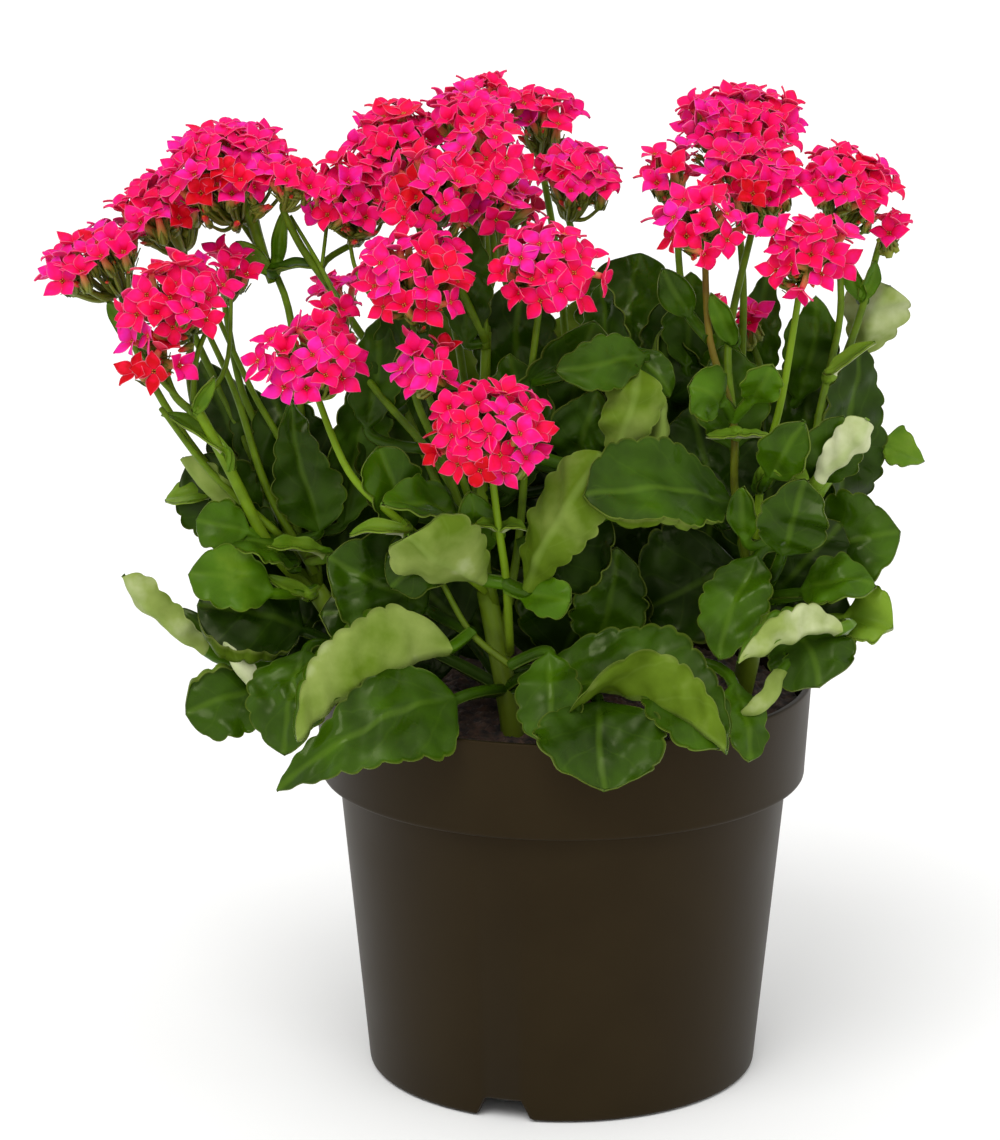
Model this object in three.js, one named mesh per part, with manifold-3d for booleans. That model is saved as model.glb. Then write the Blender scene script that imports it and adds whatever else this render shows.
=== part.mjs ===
// Potted kalanchoe: a brown nursery pot, its soil, and cuttings that carry scalloped leaves and
// domed heads of four-petalled florets. Millimetres, +Z up, the pot's axis on Z, the front at -Y.
import * as THREE from 'three';
import { ConvexHull } from 'three/addons/math/ConvexHull.js';
import { mergeVertices } from 'three/addons/utils/BufferGeometryUtils.js';
import Module from 'manifold-3d';

const wasm = await Module();
wasm.setup();

// Driving dimensions of the pot, a 13 cm nursery size
const POT_HEIGHT = 105;
const RIM_RADIUS = 65;
const COLLAR_BOTTOM = 79.5;
const COLLAR_BOTTOM_RADIUS = 63.5;
const BODY_TOP_RADIUS = 59;
const BASE_RADIUS = 51.3;
const WALL = 1.6;
const FLOOR_HEIGHT = 6.5;
const HUB_RADIUS = 14;
const BASE_ROUND = 1.6;
const POT_SEGMENTS = 32;
const COLLAR_ROUND = 0.7;
const RIM_ROUND = 0.6;
const NOTCH_WIDTH_LOW = 15;
const NOTCH_WIDTH_HIGH = 10;
const NOTCH_HEIGHT = 5.2;
const NOTCH_TURN = -108;
const NOTCH_COUNT = 3;
const DRAIN_COUNT = 6;
const DRAIN_CIRCLE = 36;
const DRAIN_RADIUS = 4;
const HOLE_SIDES = 8;

// Driving dimensions of the soil
const SOIL_EDGE = 98.5;
const SOIL_MIDDLE = 101;
const SOIL_LUMP = 0.9;
const SOIL_SEGMENTS = 16;
const HOLE_DEPTH = 16;
const GAP = 0.3;

// Driving dimensions of the plant
const TRUNK_SIDES = 5;
const STALK_SIDES = 3;
const PETIOLE_RADIUS = 1.2;
const LOWEST_LEAF = 106;
const BLADE_THICKNESS = 1.2;
const BLADE_BANDS = 6;
const SMALL_LEAF = 31;
const SMALL_BANDS = 4;
const SCALLOP_DEPTH = 0.09;
const FLORET_SPACING = 14.2;
const FLORET_STAND = 5;
const LOWEST_FLORET = 1.8;
const SPREAD_ROUNDS = 60;
const PETAL_NOTCH = 0.6;
const EYE_DEPTH = 1.6;
const TUBE_WIDTH = 0.3;
const PEDICEL_RADIUS = 0.8;
const PEDICEL_COUNT = 3;
const FORKED_HEAD = 14.4;
const CALYX_ANGLE = 2.5;
const CALYX_REACH = 0.6;
const CALYX_SIDES = 5;

// Edges shorter than this are closed up where solids are joined or cut
const JOIN_TOLERANCE = 0.05;

const vec = ([x, y, z]) => new THREE.Vector3(x, y, z);

// ---- solids -------------------------------------------------------------------------------------

function solidOf(geometry) {
  geometry.deleteAttribute('normal');
  geometry.deleteAttribute('uv');
  const merged = mergeVertices(geometry, 1e-4);
  const corners = merged.index.array;
  const triangles = [];
  for (let i = 0; i < corners.length; i += 3) {
    const [a, b, c] = corners.slice(i, i + 3);
    if (a !== b && b !== c && c !== a) triangles.push(a, b, c);
  }
  return new wasm.Manifold(new wasm.Mesh({
    numProp: 3,
    vertProperties: new Float32Array(merged.attributes.position.array),
    triVerts: new Uint32Array(triangles),
    tolerance: JOIN_TOLERANCE,
  }));
}

function geometryOf(solid) {
  const mesh = solid.getMesh();
  const geometry = new THREE.BufferGeometry();
  geometry.setAttribute('position', new THREE.BufferAttribute(mesh.vertProperties, 3));
  geometry.setIndex(new THREE.BufferAttribute(mesh.triVerts, 1));
  geometry.computeVertexNormals();
  return geometry;
}

// A closed solid through rings of points that all run the same way round, with flat ends
function loft(rings) {
  const count = rings[0].length;
  const positions = rings.flat().flatMap((point) => point.toArray());
  const index = [];
  for (let row = 0; row + 1 < rings.length; row += 1) {
    for (let i = 0; i < count; i += 1) {
      const a = row * count + i;
      const b = row * count + (i + 1) % count;
      index.push(a, b, b + count, a, b + count, a + count);
    }
  }
  const last = (rings.length - 1) * count;
  for (let i = 1; i + 1 < count; i += 1) {
    index.push(0, i + 1, i, last, last + i, last + i + 1);
  }
  const geometry = new THREE.BufferGeometry();
  geometry.setAttribute('position', new THREE.Float32BufferAttribute(positions, 3));
  geometry.setIndex(index);
  return solidOf(geometry);
}

function fuse(solids) {
  return solids.reduce((whole, solid) => whole.add(solid));
}

// Keeps the one body that matters when a cut leaves loose scraps
function oneBody(solid) {
  const bodies = solid.decompose().filter((body) => body.volume() > 0);
  bodies.sort((a, b) => b.volume() - a.volume());
  return bodies[0];
}

// ---- pot ----------------------------------------------------------------------------------------

// The moulded wall leans outward, with a collar that stands proud and ends in a rounded rim
function potProfile() {
  const inside = (radius) => radius - WALL;
  return [
    [0, 0],
    [HUB_RADIUS, 0],
    [HUB_RADIUS, FLOOR_HEIGHT],
    [inside(BASE_RADIUS) - 0.4, FLOOR_HEIGHT],
    [inside(BASE_RADIUS) - 0.4, 0],
    [BASE_RADIUS - BASE_ROUND, 0],
    [BASE_RADIUS - 0.3, 0.5],
    [BASE_RADIUS + 0.1, BASE_ROUND],
    [BODY_TOP_RADIUS, COLLAR_BOTTOM + 0.8],
    [COLLAR_BOTTOM_RADIUS - COLLAR_ROUND, COLLAR_BOTTOM],
    [COLLAR_BOTTOM_RADIUS, COLLAR_BOTTOM + COLLAR_ROUND],
    [RIM_RADIUS, POT_HEIGHT - RIM_ROUND],
    [RIM_RADIUS - RIM_ROUND, POT_HEIGHT],
    [RIM_RADIUS - 1.3, POT_HEIGHT],
    [inside(RIM_RADIUS) - 0.3, POT_HEIGHT - 0.8],
    [inside(COLLAR_BOTTOM_RADIUS), COLLAR_BOTTOM + 2.4],
    [inside(BODY_TOP_RADIUS), COLLAR_BOTTOM],
    [inside(BASE_RADIUS), FLOOR_HEIGHT + WALL],
    [0, FLOOR_HEIGHT + WALL],
  ].map(([radius, z]) => new THREE.Vector2(radius, z));
}

function turned(profile, segments) {
  const geometry = new THREE.LatheGeometry(profile, segments);
  geometry.rotateX(Math.PI / 2);
  return solidOf(geometry);
}

function notchCutter(turn) {
  const outline = new THREE.Shape();
  outline.moveTo(-NOTCH_WIDTH_LOW / 2, -1);
  outline.lineTo(NOTCH_WIDTH_LOW / 2, -1);
  outline.lineTo(NOTCH_WIDTH_HIGH / 2, NOTCH_HEIGHT);
  outline.lineTo(-NOTCH_WIDTH_HIGH / 2, NOTCH_HEIGHT);
  const geometry = new THREE.ExtrudeGeometry(outline, { depth: 10, bevelEnabled: false });
  geometry.rotateX(Math.PI / 2);
  geometry.rotateZ(Math.PI / 2);
  geometry.translate(BASE_RADIUS - 7, 0, 0);
  geometry.rotateZ(THREE.MathUtils.degToRad(turn));
  return solidOf(geometry);
}

function drainCutter(turn) {
  const geometry = new THREE.CylinderGeometry(DRAIN_RADIUS, DRAIN_RADIUS, 4 * WALL, HOLE_SIDES);
  geometry.rotateX(Math.PI / 2);
  geometry.translate(DRAIN_CIRCLE, 0, FLOOR_HEIGHT + WALL / 2);
  geometry.rotateZ(THREE.MathUtils.degToRad(turn));
  return solidOf(geometry);
}

function makePot() {
  let pot = turned(potProfile(), POT_SEGMENTS);
  for (let i = 0; i < NOTCH_COUNT; i += 1) {
    pot = pot.subtract(notchCutter(NOTCH_TURN + i * 360 / NOTCH_COUNT));
  }
  for (let i = 0; i < DRAIN_COUNT; i += 1) {
    pot = pot.subtract(drainCutter(i * 360 / DRAIN_COUNT));
  }
  return pot;
}

// ---- leafy stems --------------------------------------------------------------------------------

// A round stem through its points, tapering from the first radius to the second
function tube(points, radii, sides) {
  const path = points.map(vec);
  const last = path.length - 1;
  const across = new THREE.Vector3(1, 0, 0);
  const rings = path.map((middle, i) => {
    const ahead = path[Math.min(i + 1, last)].clone().sub(path[Math.max(i - 1, 0)]).normalize();
    across.projectOnPlane(ahead).normalize();
    const other = ahead.clone().cross(across);
    const radius = THREE.MathUtils.lerp(radii[0], radii[1], i / last);
    return Array.from({ length: sides }, (_, corner) => {
      const angle = 2 * Math.PI * corner / sides;
      return middle.clone()
        .addScaledVector(across, radius * Math.cos(angle))
        .addScaledVector(other, radius * Math.sin(angle));
    });
  });
  return loft(rings);
}

// Half the blade's width along the leaf, from 0 at the stalk to 0 at the tip, with scallops
function halfWidth(along, band, width) {
  const oval = Math.max(Math.sin(Math.PI * along ** 0.9), 0) ** 0.6;
  const scallop = band % 2 === 0 ? 1 - SCALLOP_DEPTH : 1 + SCALLOP_DEPTH;
  return width / 2 * oval * scallop;
}

// The fold and roll of one side at a place along the leaf. A side with four values turns from the
// first pair to the second as it passes its middle.
function bendAt([fold, roll, tipFold = fold, tipRoll = roll], along) {
  const turned = THREE.MathUtils.smoothstep(along, 0.2, 0.6);
  return {
    fold: THREE.MathUtils.lerp(fold, tipFold, turned),
    roll: THREE.MathUtils.lerp(roll, tipRoll, turned),
  };
}

// Where the blade lies at one place across it. The fold lifts a side from the midrib, and the roll
// bends it on toward its edge, both in degrees.
function acrossBlade(middle, side, up, half, { fold, roll }, share) {
  const point = middle.clone();
  const steps = 8;
  let angle = 0;
  for (let i = 0; i < steps; i += 1) {
    const reached = share * (i + 0.5) / steps;
    angle = THREE.MathUtils.degToRad(fold + roll * reached);
    point.addScaledVector(side, Math.cos(angle) * half * share / steps);
    point.addScaledVector(up, Math.sin(angle) * half * share / steps);
  }
  const normal = up.clone().multiplyScalar(Math.cos(angle)).addScaledVector(side, -Math.sin(angle));
  return { point, normal };
}

// A leaf from its root in the stem: a short stalk, then the blade in bands to a pointed tip
function makeLeaf({ base, tip, face, width, arch, left, right }, root) {
  const start = vec(base);
  const along = vec(tip).sub(start);
  const forward = along.clone().normalize();
  const up = vec(face).projectOnPlane(forward).normalize();
  const side = forward.clone().cross(up);
  const rolled = Math.max(...[left, right].map((bend) => Math.max(...bend.map(Math.abs)))) > 45;
  const shares = rolled ? [0.5, 1] : [1];
  const across = shares.length * 2 + 1;
  const lean = start.clone().sub(root).normalize().add(forward).normalize();
  const stalkUp = up.clone().projectOnPlane(lean).normalize();
  const stalkSide = lean.clone().cross(stalkUp);
  const stalkSkin = (offset) => Array.from({ length: across }, (_, i) => (
    start.clone().addScaledVector(stalkUp, offset)
      .addScaledVector(stalkSide, PETIOLE_RADIUS * (2 * i / (across - 1) - 1))));
  const rings = [
    Array(2 * across).fill(root),
    [...stalkSkin(PETIOLE_RADIUS), ...stalkSkin(-PETIOLE_RADIUS).reverse()],
  ];
  const bands = width < SMALL_LEAF ? SMALL_BANDS : BLADE_BANDS;
  for (let band = 1; band < bands; band += 1) {
    const t = band / bands;
    const middle = start.clone().addScaledVector(along, t).addScaledVector(up, arch * 4 * t * (1 - t));
    const half = halfWidth(t, band, width);
    const places = [
      ...shares.toReversed().map((share) => (
        acrossBlade(middle, side.clone().negate(), up, half, bendAt(left, t), share))),
      { point: middle, normal: up },
      ...shares.map((share) => acrossBlade(middle, side, up, half, bendAt(right, t), share)),
    ];
    const skin = (offset) => places.map(({ point, normal }) => point.clone().addScaledVector(normal, offset));
    rings.push([...skin(BLADE_THICKNESS / 2), ...skin(-BLADE_THICKNESS / 2).reverse()]);
  }
  rings.push(Array(2 * across).fill(start.clone().add(along)));
  return loft(rings);
}

// The nearest place on a plant's stems at or below a leaf, where its stalk grows out
function nearestOnStems(stems, target) {
  let best = null;
  for (const stem of stems) {
    for (let i = 0; i + 1 < stem.points.length; i += 1) {
      const line = new THREE.Line3(vec(stem.points[i]), vec(stem.points[i + 1]));
      const place = line.closestPointToPoint(target, true, new THREE.Vector3());
      if (place.z < LOWEST_LEAF) continue;
      const lift = Math.max(0, place.z - target.z + 3);
      const score = place.distanceTo(target) + 2 * lift;
      if (best === null || score < best.score) best = { place, score };
    }
  }
  return best.place;
}

// ---- flower heads -------------------------------------------------------------------------------

// The dome's base circle lies a little below the middle of the head
function domeOf(head) {
  const axis = vec(head.axis).normalize();
  const centre = vec(head.middle).addScaledVector(axis, -0.3 * head.radius);
  const right = new THREE.Vector3(0, 1, 0).cross(axis).normalize();
  const back = axis.clone().cross(right);
  return { axis, centre, right, back };
}

// How far the florets stand from the middle of the dome, and how far the core under them does
function reachOf(head) {
  const top = head.radius + 1.5;
  return { top, inner: top - Math.min(FLORET_STAND, 0.4 * head.radius) };
}

// A place under a head's flat calyx, where a stalk or pedicel ends just clear of it
function underHead(head, share, turn, clear) {
  const { axis, centre, right, back } = domeOf(head);
  const reach = CALYX_REACH * reachOf(head).inner;
  return centre.clone()
    .addScaledVector(axis, reach * head.height * Math.cos(CALYX_ANGLE) - clear)
    .addScaledVector(right, share * reach * Math.sin(CALYX_ANGLE) * Math.cos(turn))
    .addScaledVector(back, share * reach * Math.sin(CALYX_ANGLE) * Math.sin(turn));
}

// The florets of a head as directions from the dome's centre: they start on a sunflower spiral and
// push each other apart until they fill the dome evenly. Each has the circle it fills and its turn.
function floretsOf(head) {
  const cap = 2 * Math.PI * (1 - Math.cos(LOWEST_FLORET));
  const fullness = 0.35 + 0.65 * head.height;
  const count = Math.max(5, Math.round(cap * fullness * (head.radius / FLORET_SPACING) ** 2));
  const golden = Math.PI * (3 - Math.sqrt(5));
  let eyes = Array.from({ length: count }, (_, i) => {
    const height = 1 - (1 - Math.cos(LOWEST_FLORET)) * (i + 0.5) / count;
    return new THREE.Vector3().setFromSphericalCoords(1, Math.acos(height), i * golden);
  });
  const spacing = 1.12 * Math.sqrt(cap / count);
  for (let round = 0; round < SPREAD_ROUNDS; round += 1) {
    eyes = eyes.map((eye) => {
      const push = new THREE.Vector3();
      for (const other of eyes) {
        const short = spacing - eye.distanceTo(other);
        if (other !== eye && short > 0) push.addScaledVector(eye.clone().sub(other).normalize(), 0.3 * short);
      }
      const moved = new THREE.Spherical().setFromVector3(eye.clone().add(push).normalize());
      return new THREE.Vector3()
        .setFromSphericalCoords(1, Math.min(moved.phi, LOWEST_FLORET), moved.theta);
    });
  }
  return eyes.map((eye, i) => {
    const others = eyes.filter((other) => other !== eye);
    const reach = 0.49 * Math.min(...others.map((other) => eye.angleTo(other)));
    return { eye, reach, turn: i * 1.9 };
  });
}

// A direction that leans away from a floret's own by an angle, at a turn round it
function around({ eye, reach, turn }, share, step) {
  const right = new THREE.Vector3(0.2, 0.3, 1).cross(eye).normalize();
  const back = eye.clone().cross(right);
  const angle = turn + step * Math.PI / 4;
  return eye.clone().multiplyScalar(Math.cos(reach * share))
    .addScaledVector(right, Math.sin(reach * share) * Math.cos(angle))
    .addScaledVector(back, Math.sin(reach * share) * Math.sin(angle));
}

// One closed skin: a core that narrows below, and out of it, on a square throat for each floret, a
// star of four petals round a sunken eye
function makeHead(head) {
  const { axis, centre, right, back } = domeOf(head);
  const place = (direction, reach) => centre.clone()
    .addScaledVector(right, reach * direction.z)
    .addScaledVector(back, reach * direction.x)
    .addScaledVector(axis, reach * head.height * direction.y);
  const { top, inner } = reachOf(head);
  const positions = [];
  const triangle = (...corners) => positions.push(...corners.flatMap((corner) => corner.toArray()));
  const marks = [];
  floretsOf(head).forEach((floret, owner) => {
    const throat = [1, 3, 5, 7].map((step) => around(floret, TUBE_WIDTH, step));
    throat.forEach((direction) => marks.push({ direction, owner, reach: inner }));
    const rim = Array.from({ length: 8 }, (_, step) => (
      place(around(floret, step % 2 === 0 ? 1 : PETAL_NOTCH, step), top)));
    const eye = place(floret.eye, top - EYE_DEPTH);
    for (let step = 0; step < 8; step += 1) {
      const [a, b] = [rim[step], rim[(step + 1) % 8]];
      const root = place(throat[step >> 1], inner);
      triangle(eye, a, b);
      triangle(root, b, a);
      if (step % 2 === 1) triangle(root, place(throat[(step + 1) / 2 % 4], inner), b);
    }
  });
  for (let i = 0; i < CALYX_SIDES; i += 1) {
    const turn = 2 * Math.PI * i / CALYX_SIDES;
    const direction = new THREE.Vector3().setFromSphericalCoords(1, CALYX_ANGLE, turn);
    marks.push({ direction, owner: -1 - i, reach: CALYX_REACH * inner });
  }
  const hull = new ConvexHull().setFromPoints(marks.map(({ direction }) => direction));
  for (const face of hull.faces) {
    const corners = [face.edge, face.edge.next, face.edge.prev].map((edge) => (
      marks.find((mark) => mark.direction === edge.head().point)));
    const throat = corners.every((corner) => corner.owner === corners[0].owner);
    if (!throat) triangle(...corners.map(({ direction, reach }) => place(direction, reach)));
  }
  const geometry = new THREE.BufferGeometry();
  geometry.setAttribute('position', new THREE.Float32BufferAttribute(positions, 3));
  return solidOf(geometry);
}

// Where a head's stalk meets its pedicels
function forkOf(head) {
  return underHead(head, 0, 0, 0.3 * head.radius);
}

function pedicels(head) {
  return Array.from({ length: PEDICEL_COUNT }, (_, i) => {
    const end = underHead(head, 0.75, 2 * Math.PI * (i + 0.5) / PEDICEL_COUNT, 2 * GAP);
    return tube([forkOf(head).toArray(), end.toArray()], [1, PEDICEL_RADIUS], STALK_SIDES);
  });
}

// ---- the four cuttings --------------------------------------------------------------------------
// trunk: points from the soil up, with the radius at its foot and top. stalks: main branches that
// several heads or leaves share. heads: the middle, radius and axis of each dome, and the points its
// stalk starts from. leaves: where the blade starts and ends, the way its upper face looks, its width,
// how far the midrib arches, and the fold and roll of its left and right halves.

const CUTTINGS = [
  {
    name: 'left',
    trunk: { points: [[-46, -14, 97], [-52, -13, 112], [-64, -15, 132]], radii: [3.4, 2.6] },
    stalks: [
      { points: [[-63, -15, 129], [-75, -20, 144], [-85, -25, 166], [-93, -28, 183]], radii: [2.2, 1.7] },
    ],
    heads: [
      { name: 'far_left', middle: [-122, 0, 218], radius: 14, height: 0.75, axis: [-0.5, -0.2, 0.85],
        from: [[-65, -13, 133], [-94, -5, 165], [-109, 0, 189]] },
      { name: 'left_second', middle: [-104, 5, 228], radius: 12.5, height: 0.8, axis: [-0.3, -0.3, 0.9],
        from: [[-65, -12, 132], [-84, 0, 171], [-97, 5, 199]] },
      { name: 'left_top', middle: [-85, 0, 241], radius: 17, height: 0.75, axis: [-0.1, -0.35, 0.95],
        from: [[-63, -13, 131], [-68, -5, 180], [-72, 2, 206]] },
      { name: 'left_mid', middle: [-100, -25, 208], radius: 14.5, height: 0.9, axis: [-0.25, -0.75, 0.6],
        from: [[-93, -28, 181], [-95, -20, 189]] },
      { name: 'left_mid_back', middle: [-86, -2, 212], radius: 9.5, height: 0.8, axis: [0.15, -0.3, 0.95],
        from: [[-64, -13, 133], [-75, -5, 164], [-83, -3, 182]] },
      { name: 'left_low', middle: [-104, -32, 193], radius: 8, height: 0.6, axis: [-0.3, -0.8, 0.5],
        from: [[-91, -27, 179], [-98, -27, 185]] },
    ],
    leaves: [
      { base: [-59, -22, 119], tip: [-75, -44, 93], face: [-0.3, -0.75, 0.5], width: 32, arch: 5,
        left: [5, 10], right: [5, 10] },
      { base: [-74, -14, 107], tip: [-99, -26, 102], face: [-0.2, -0.8, 0.45], width: 36, arch: 4,
        left: [0, -10], right: [20, 120] },
      { base: [-81, -12, 112], tip: [-115, -12, 134], face: [0.3, 0.75, 0.5], width: 26, arch: -4,
        left: [15, 40], right: [15, 40] },
      { base: [-70, -20, 120], tip: [-98, -32, 134], face: [-0.4, -0.6, 0.7], width: 48, arch: 5,
        left: [0, 60], right: [5, 10] },
      { base: [-72, -26, 132], tip: [-96, -34, 140], face: [-0.2, -0.55, 0.8], width: 32, arch: 4,
        left: [0, 0], right: [5, 10] },
      { base: [-80, -14, 151], tip: [-100, -10, 168], face: [0.4, 0.6, 0.5], width: 32, arch: -3,
        left: [10, 20], right: [15, 30] },
      { base: [-76, 10, 136], tip: [-96, 20, 152], face: [-0.5, -0.6, 0.5], width: 36, arch: 4,
        left: [5, 10], right: [5, 10] },
      { base: [-70, -23, 141], tip: [-90, -27, 148], face: [-0.2, -0.3, 0.9], width: 26, arch: 3,
        left: [0, 0], right: [10, 10] },
      { base: [-62, -24, 149], tip: [-74, -25, 180], face: [-0.1, -0.9, 0.3], width: 38, arch: 3,
        left: [10, 10], right: [10, 15] },
      { base: [-60, -17, 149], tip: [-51, -15, 188], face: [0.3, -0.9, 0.2], width: 28, arch: 3,
        left: [10, 10], right: [10, 25] },
    ],
  },
  {
    name: 'centre',
    trunk: { points: [[-13, -35, 97], [-15, -35, 111], [-20, -34, 137]], radii: [4.0, 2.8] },
    stalks: [
      { points: [[-20, -33, 134], [-21, -26, 160], [-20, -18, 200]], radii: [2.2, 1.7] },
    ],
    heads: [
      { name: 'front_centre', middle: [-20, -62, 184], radius: 17, height: 0.8, axis: [0, -0.85, 0.55],
        from: [[-14, -37, 121], [-15, -45, 142], [-17, -51, 158]] },
      { name: 'centre_right', middle: [-5, -40, 220], radius: 15, height: 0.8, axis: [0.1, -0.7, 0.7],
        from: [[-16, -34, 124], [-12, -36, 149], [-10, -31, 172], [-9, -32, 190]] },
      { name: 'centre_low', middle: [-35, -50, 198], radius: 11, height: 0.7, axis: [0, -0.75, 0.65],
        from: [[-18, -35, 133], [-24, -43, 162]] },
      { name: 'centre_front', middle: [-39, -40, 217], radius: 15.5, height: 0.8, axis: [0, -0.7, 0.7],
        from: [[-19, -33, 136], [-30, -33, 168], [-38, -34, 188]] },
      { name: 'front_left', middle: [-65, -42, 197], radius: 15.5, height: 0.75, axis: [-0.1, -0.65, 0.75],
        from: [[-20, -36, 137], [-42, -42, 157], [-54, -42, 169]] },
      { name: 'front_left_back', middle: [-59, -20, 207], radius: 9, height: 0.7, axis: [-0.2, -0.4, 0.9],
        from: [[-28, -31, 162], [-35, -28, 172], [-48, -22, 186]] },
      { name: 'summit_front', middle: [-34, -25, 235], radius: 13.5, height: 0.9, axis: [-0.1, -0.75, 0.65],
        from: [[-20, -20, 198], [-27, -22, 213]] },
      { name: 'summit_front_right', middle: [-20, -15, 242], radius: 13, height: 0.9, axis: [0.1, -0.65, 0.75],
        from: [[-20, -20, 196], [-21, -18, 210]] },
      { name: 'summit_low_right', middle: [-17, -22, 231], radius: 8.5, height: 0.8, axis: [0.2, -0.75, 0.6],
        from: [[-21, -18, 206], [-18, -18, 216]] },
      { name: 'summit_middle', middle: [-23, 5, 250], radius: 12, height: 0.8, axis: [0.1, -0.3, 0.95],
        from: [[-20, -18, 198], [-20, 0, 222]] },
      { name: 'summit_left', middle: [-43, 10, 245], radius: 15.5, height: 0.75, axis: [-0.2, -0.35, 0.9],
        from: [[-20, -32, 136], [-27, 0, 192], [-35, 8, 214]] },
      { name: 'summit_back', middle: [-26, 25, 253], radius: 12.5, height: 0.8, axis: [0, -0.2, 1],
        from: [[-31, 4, 205], [-27, 18, 226]] },
      { name: 'summit_far_left', middle: [-57, 0, 238], radius: 12.5, height: 0.8, axis: [-0.3, -0.4, 0.85],
        from: [[-21, -33, 136], [-42, -12, 181], [-56, -5, 203], [-62, -3, 214]] },
      { name: 'left_top_right', middle: [-70, -8, 236], radius: 9, height: 0.8, axis: [0.2, -0.4, 0.9],
        from: [[-60, -4, 209], [-67, -4, 219]] },
    ],
    leaves: [
      { base: [-5, -46, 118], tip: [39, -76, 107], face: [0, -0.45, 0.9], width: 42, arch: 4,
        left: [30, 25], right: [-25, -10, 105, 20] },
      { base: [11, -62, 113], tip: [8, -80, 96], face: [0, -0.85, 0.5], width: 44, arch: 4,
        left: [5, 20], right: [5, 15] },
      { base: [34, -50, 112], tip: [42, -70, 102], face: [0.2, -0.8, 0.5], width: 26, arch: 3,
        left: [5, 0], right: [0, -10] },
      { base: [-27, -52, 117], tip: [-72, -64, 94], face: [0, -0.55, 0.8], width: 40, arch: 7,
        left: [-15, -30], right: [15, 10] },
      { base: [-22, -44, 132], tip: [-68, -64, 109], face: [-0.1, -0.3, 0.9], width: 36, arch: 3,
        left: [95, 25], right: [30, 20] },
      { base: [-29, -8, 149], tip: [-44, -3, 183], face: [0.1, -1, 0.2], width: 42, arch: 3,
        left: [5, 10], right: [5, 10] },
      { base: [-50, -54, 162], tip: [-31, -70, 165], face: [-0.1, -0.5, 0.85], width: 32, arch: 3,
        left: [40, 10], right: [0, -20] },
      { base: [-23, -44, 140], tip: [-45, -64, 159], face: [-0.2, 0.75, 0.6], width: 38, arch: -3,
        left: [10, 20], right: [10, 20] },
      { base: [-36, -30, 130], tip: [-60, -40, 143], face: [-0.2, -0.8, 0.5], width: 44, arch: 4,
        left: [5, 10], right: [5, 10] },
      { base: [-13, -44, 132], tip: [1, -54, 138], face: [0.2, -0.6, 0.7], width: 20, arch: 2,
        left: [10, 10], right: [0, -10] },
      { base: [-9, -44, 143], tip: [5, -54, 179], face: [0.5, 0.7, 0.3], width: 26, arch: -4,
        left: [15, 50], right: [15, 50] },
      { base: [-12, -32, 137], tip: [9, -34, 154], face: [0.2, -0.7, 0.6], width: 32, arch: 4,
        left: [5, 10], right: [5, 10] },
      { base: [14, -26, 173], tip: [17, -38, 198], face: [0.2, 0.9, 0.3], width: 24, arch: -3,
        left: [15, 30], right: [15, 30] },
      { base: [-1, -25, 163], tip: [9, -36, 204], face: [0.1, -0.9, 0.4], width: 42, arch: 4,
        left: [5, 30], right: [5, 30] },
      { base: [-6, -36, 164], tip: [9, -45, 189], face: [0.1, -0.9, 0.4], width: 34, arch: 3,
        left: [5, 20], right: [5, 20] },
      { base: [-1, -22, 116], tip: [12, -24, 147], face: [0.1, -0.95, 0.2], width: 36, arch: 4,
        left: [5, 10], right: [5, 10] },
      { base: [-5, -18, 114], tip: [3, -8, 138], face: [0, -0.9, 0.4], width: 36, arch: 3,
        left: [5, 10], right: [5, 10] },
    ],
  },
  {
    name: 'right',
    trunk: { points: [[45, -12, 98], [48, -18, 117], [49, -21, 131]], radii: [3.4, 2.6] },
    stalks: [],
    heads: [
      { name: 'right_front', middle: [34, -30, 229], radius: 13.5, height: 0.8, axis: [-0.15, -0.75, 0.65],
        from: [[49, -21, 130], [43, -28, 159], [42, -30, 180], [36, -28, 200]] },
      { name: 'right_wide', middle: [47, -10, 237], radius: 15, height: 0.7, axis: [0.05, -0.45, 0.9],
        from: [[42, -30, 179], [41, -22, 199]] },
      { name: 'right_top', middle: [44, 15, 250], radius: 17.5, height: 0.75, axis: [0, -0.3, 0.95],
        from: [[49, -19, 130], [46, -2, 179], [46, 4, 209]] },
      { name: 'right_low', middle: [59, -35, 222], radius: 11.5, height: 1, axis: [0, -0.85, 0.5],
        from: [[49, -22, 130], [49, -30, 162], [54, -32, 186]] },
      { name: 'right_outer', middle: [74, -5, 238], radius: 14, height: 0.75, axis: [0.2, -0.4, 0.9],
        from: [[50, -20, 129], [60, -26, 152], [64, -21, 178], [70, -10, 203]] },
      { name: 'right_outer_low', middle: [85, -6, 224], radius: 6, height: 0.8, axis: [0.5, -0.4, 0.8],
        from: [[64, -20, 178], [72, -9, 193], [77, -4, 207]] },
      { name: 'right_wide_left', middle: [28, 0, 238], radius: 9.5, height: 0.75, axis: [-0.25, -0.35, 0.9],
        from: [[49, -18, 130], [37, -2, 178], [30, -2, 208]] },
      { name: 'right_tiny', middle: [50, 10, 199], radius: 5, height: 0.8, axis: [0, -0.5, 0.85],
        from: [[46, -4, 173], [51, 5, 184]] },
    ],
    leaves: [
      { base: [38, -37, 164], tip: [2, -59, 164], face: [-0.1, -0.8, 0.55], width: 50, arch: 6,
        left: [0, 40], right: [5, 45] },
      { base: [42, -27, 181], tip: [33, -36, 197], face: [-0.3, -0.9, 0.2], width: 17, arch: 2,
        left: [5, 0], right: [5, 0] },
      { base: [43, -31, 182], tip: [50, -38, 195], face: [0.3, -0.9, 0.2], width: 17, arch: 2,
        left: [5, 0], right: [5, 0] },
      { base: [43, -18, 172], tip: [40, -16, 197], face: [0, -0.9, 0.3], width: 26, arch: 2,
        left: [5, 10], right: [5, 10] },
      { base: [47, 15, 171], tip: [49, 23, 208], face: [0.1, -0.9, 0.2], width: 30, arch: 3,
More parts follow.
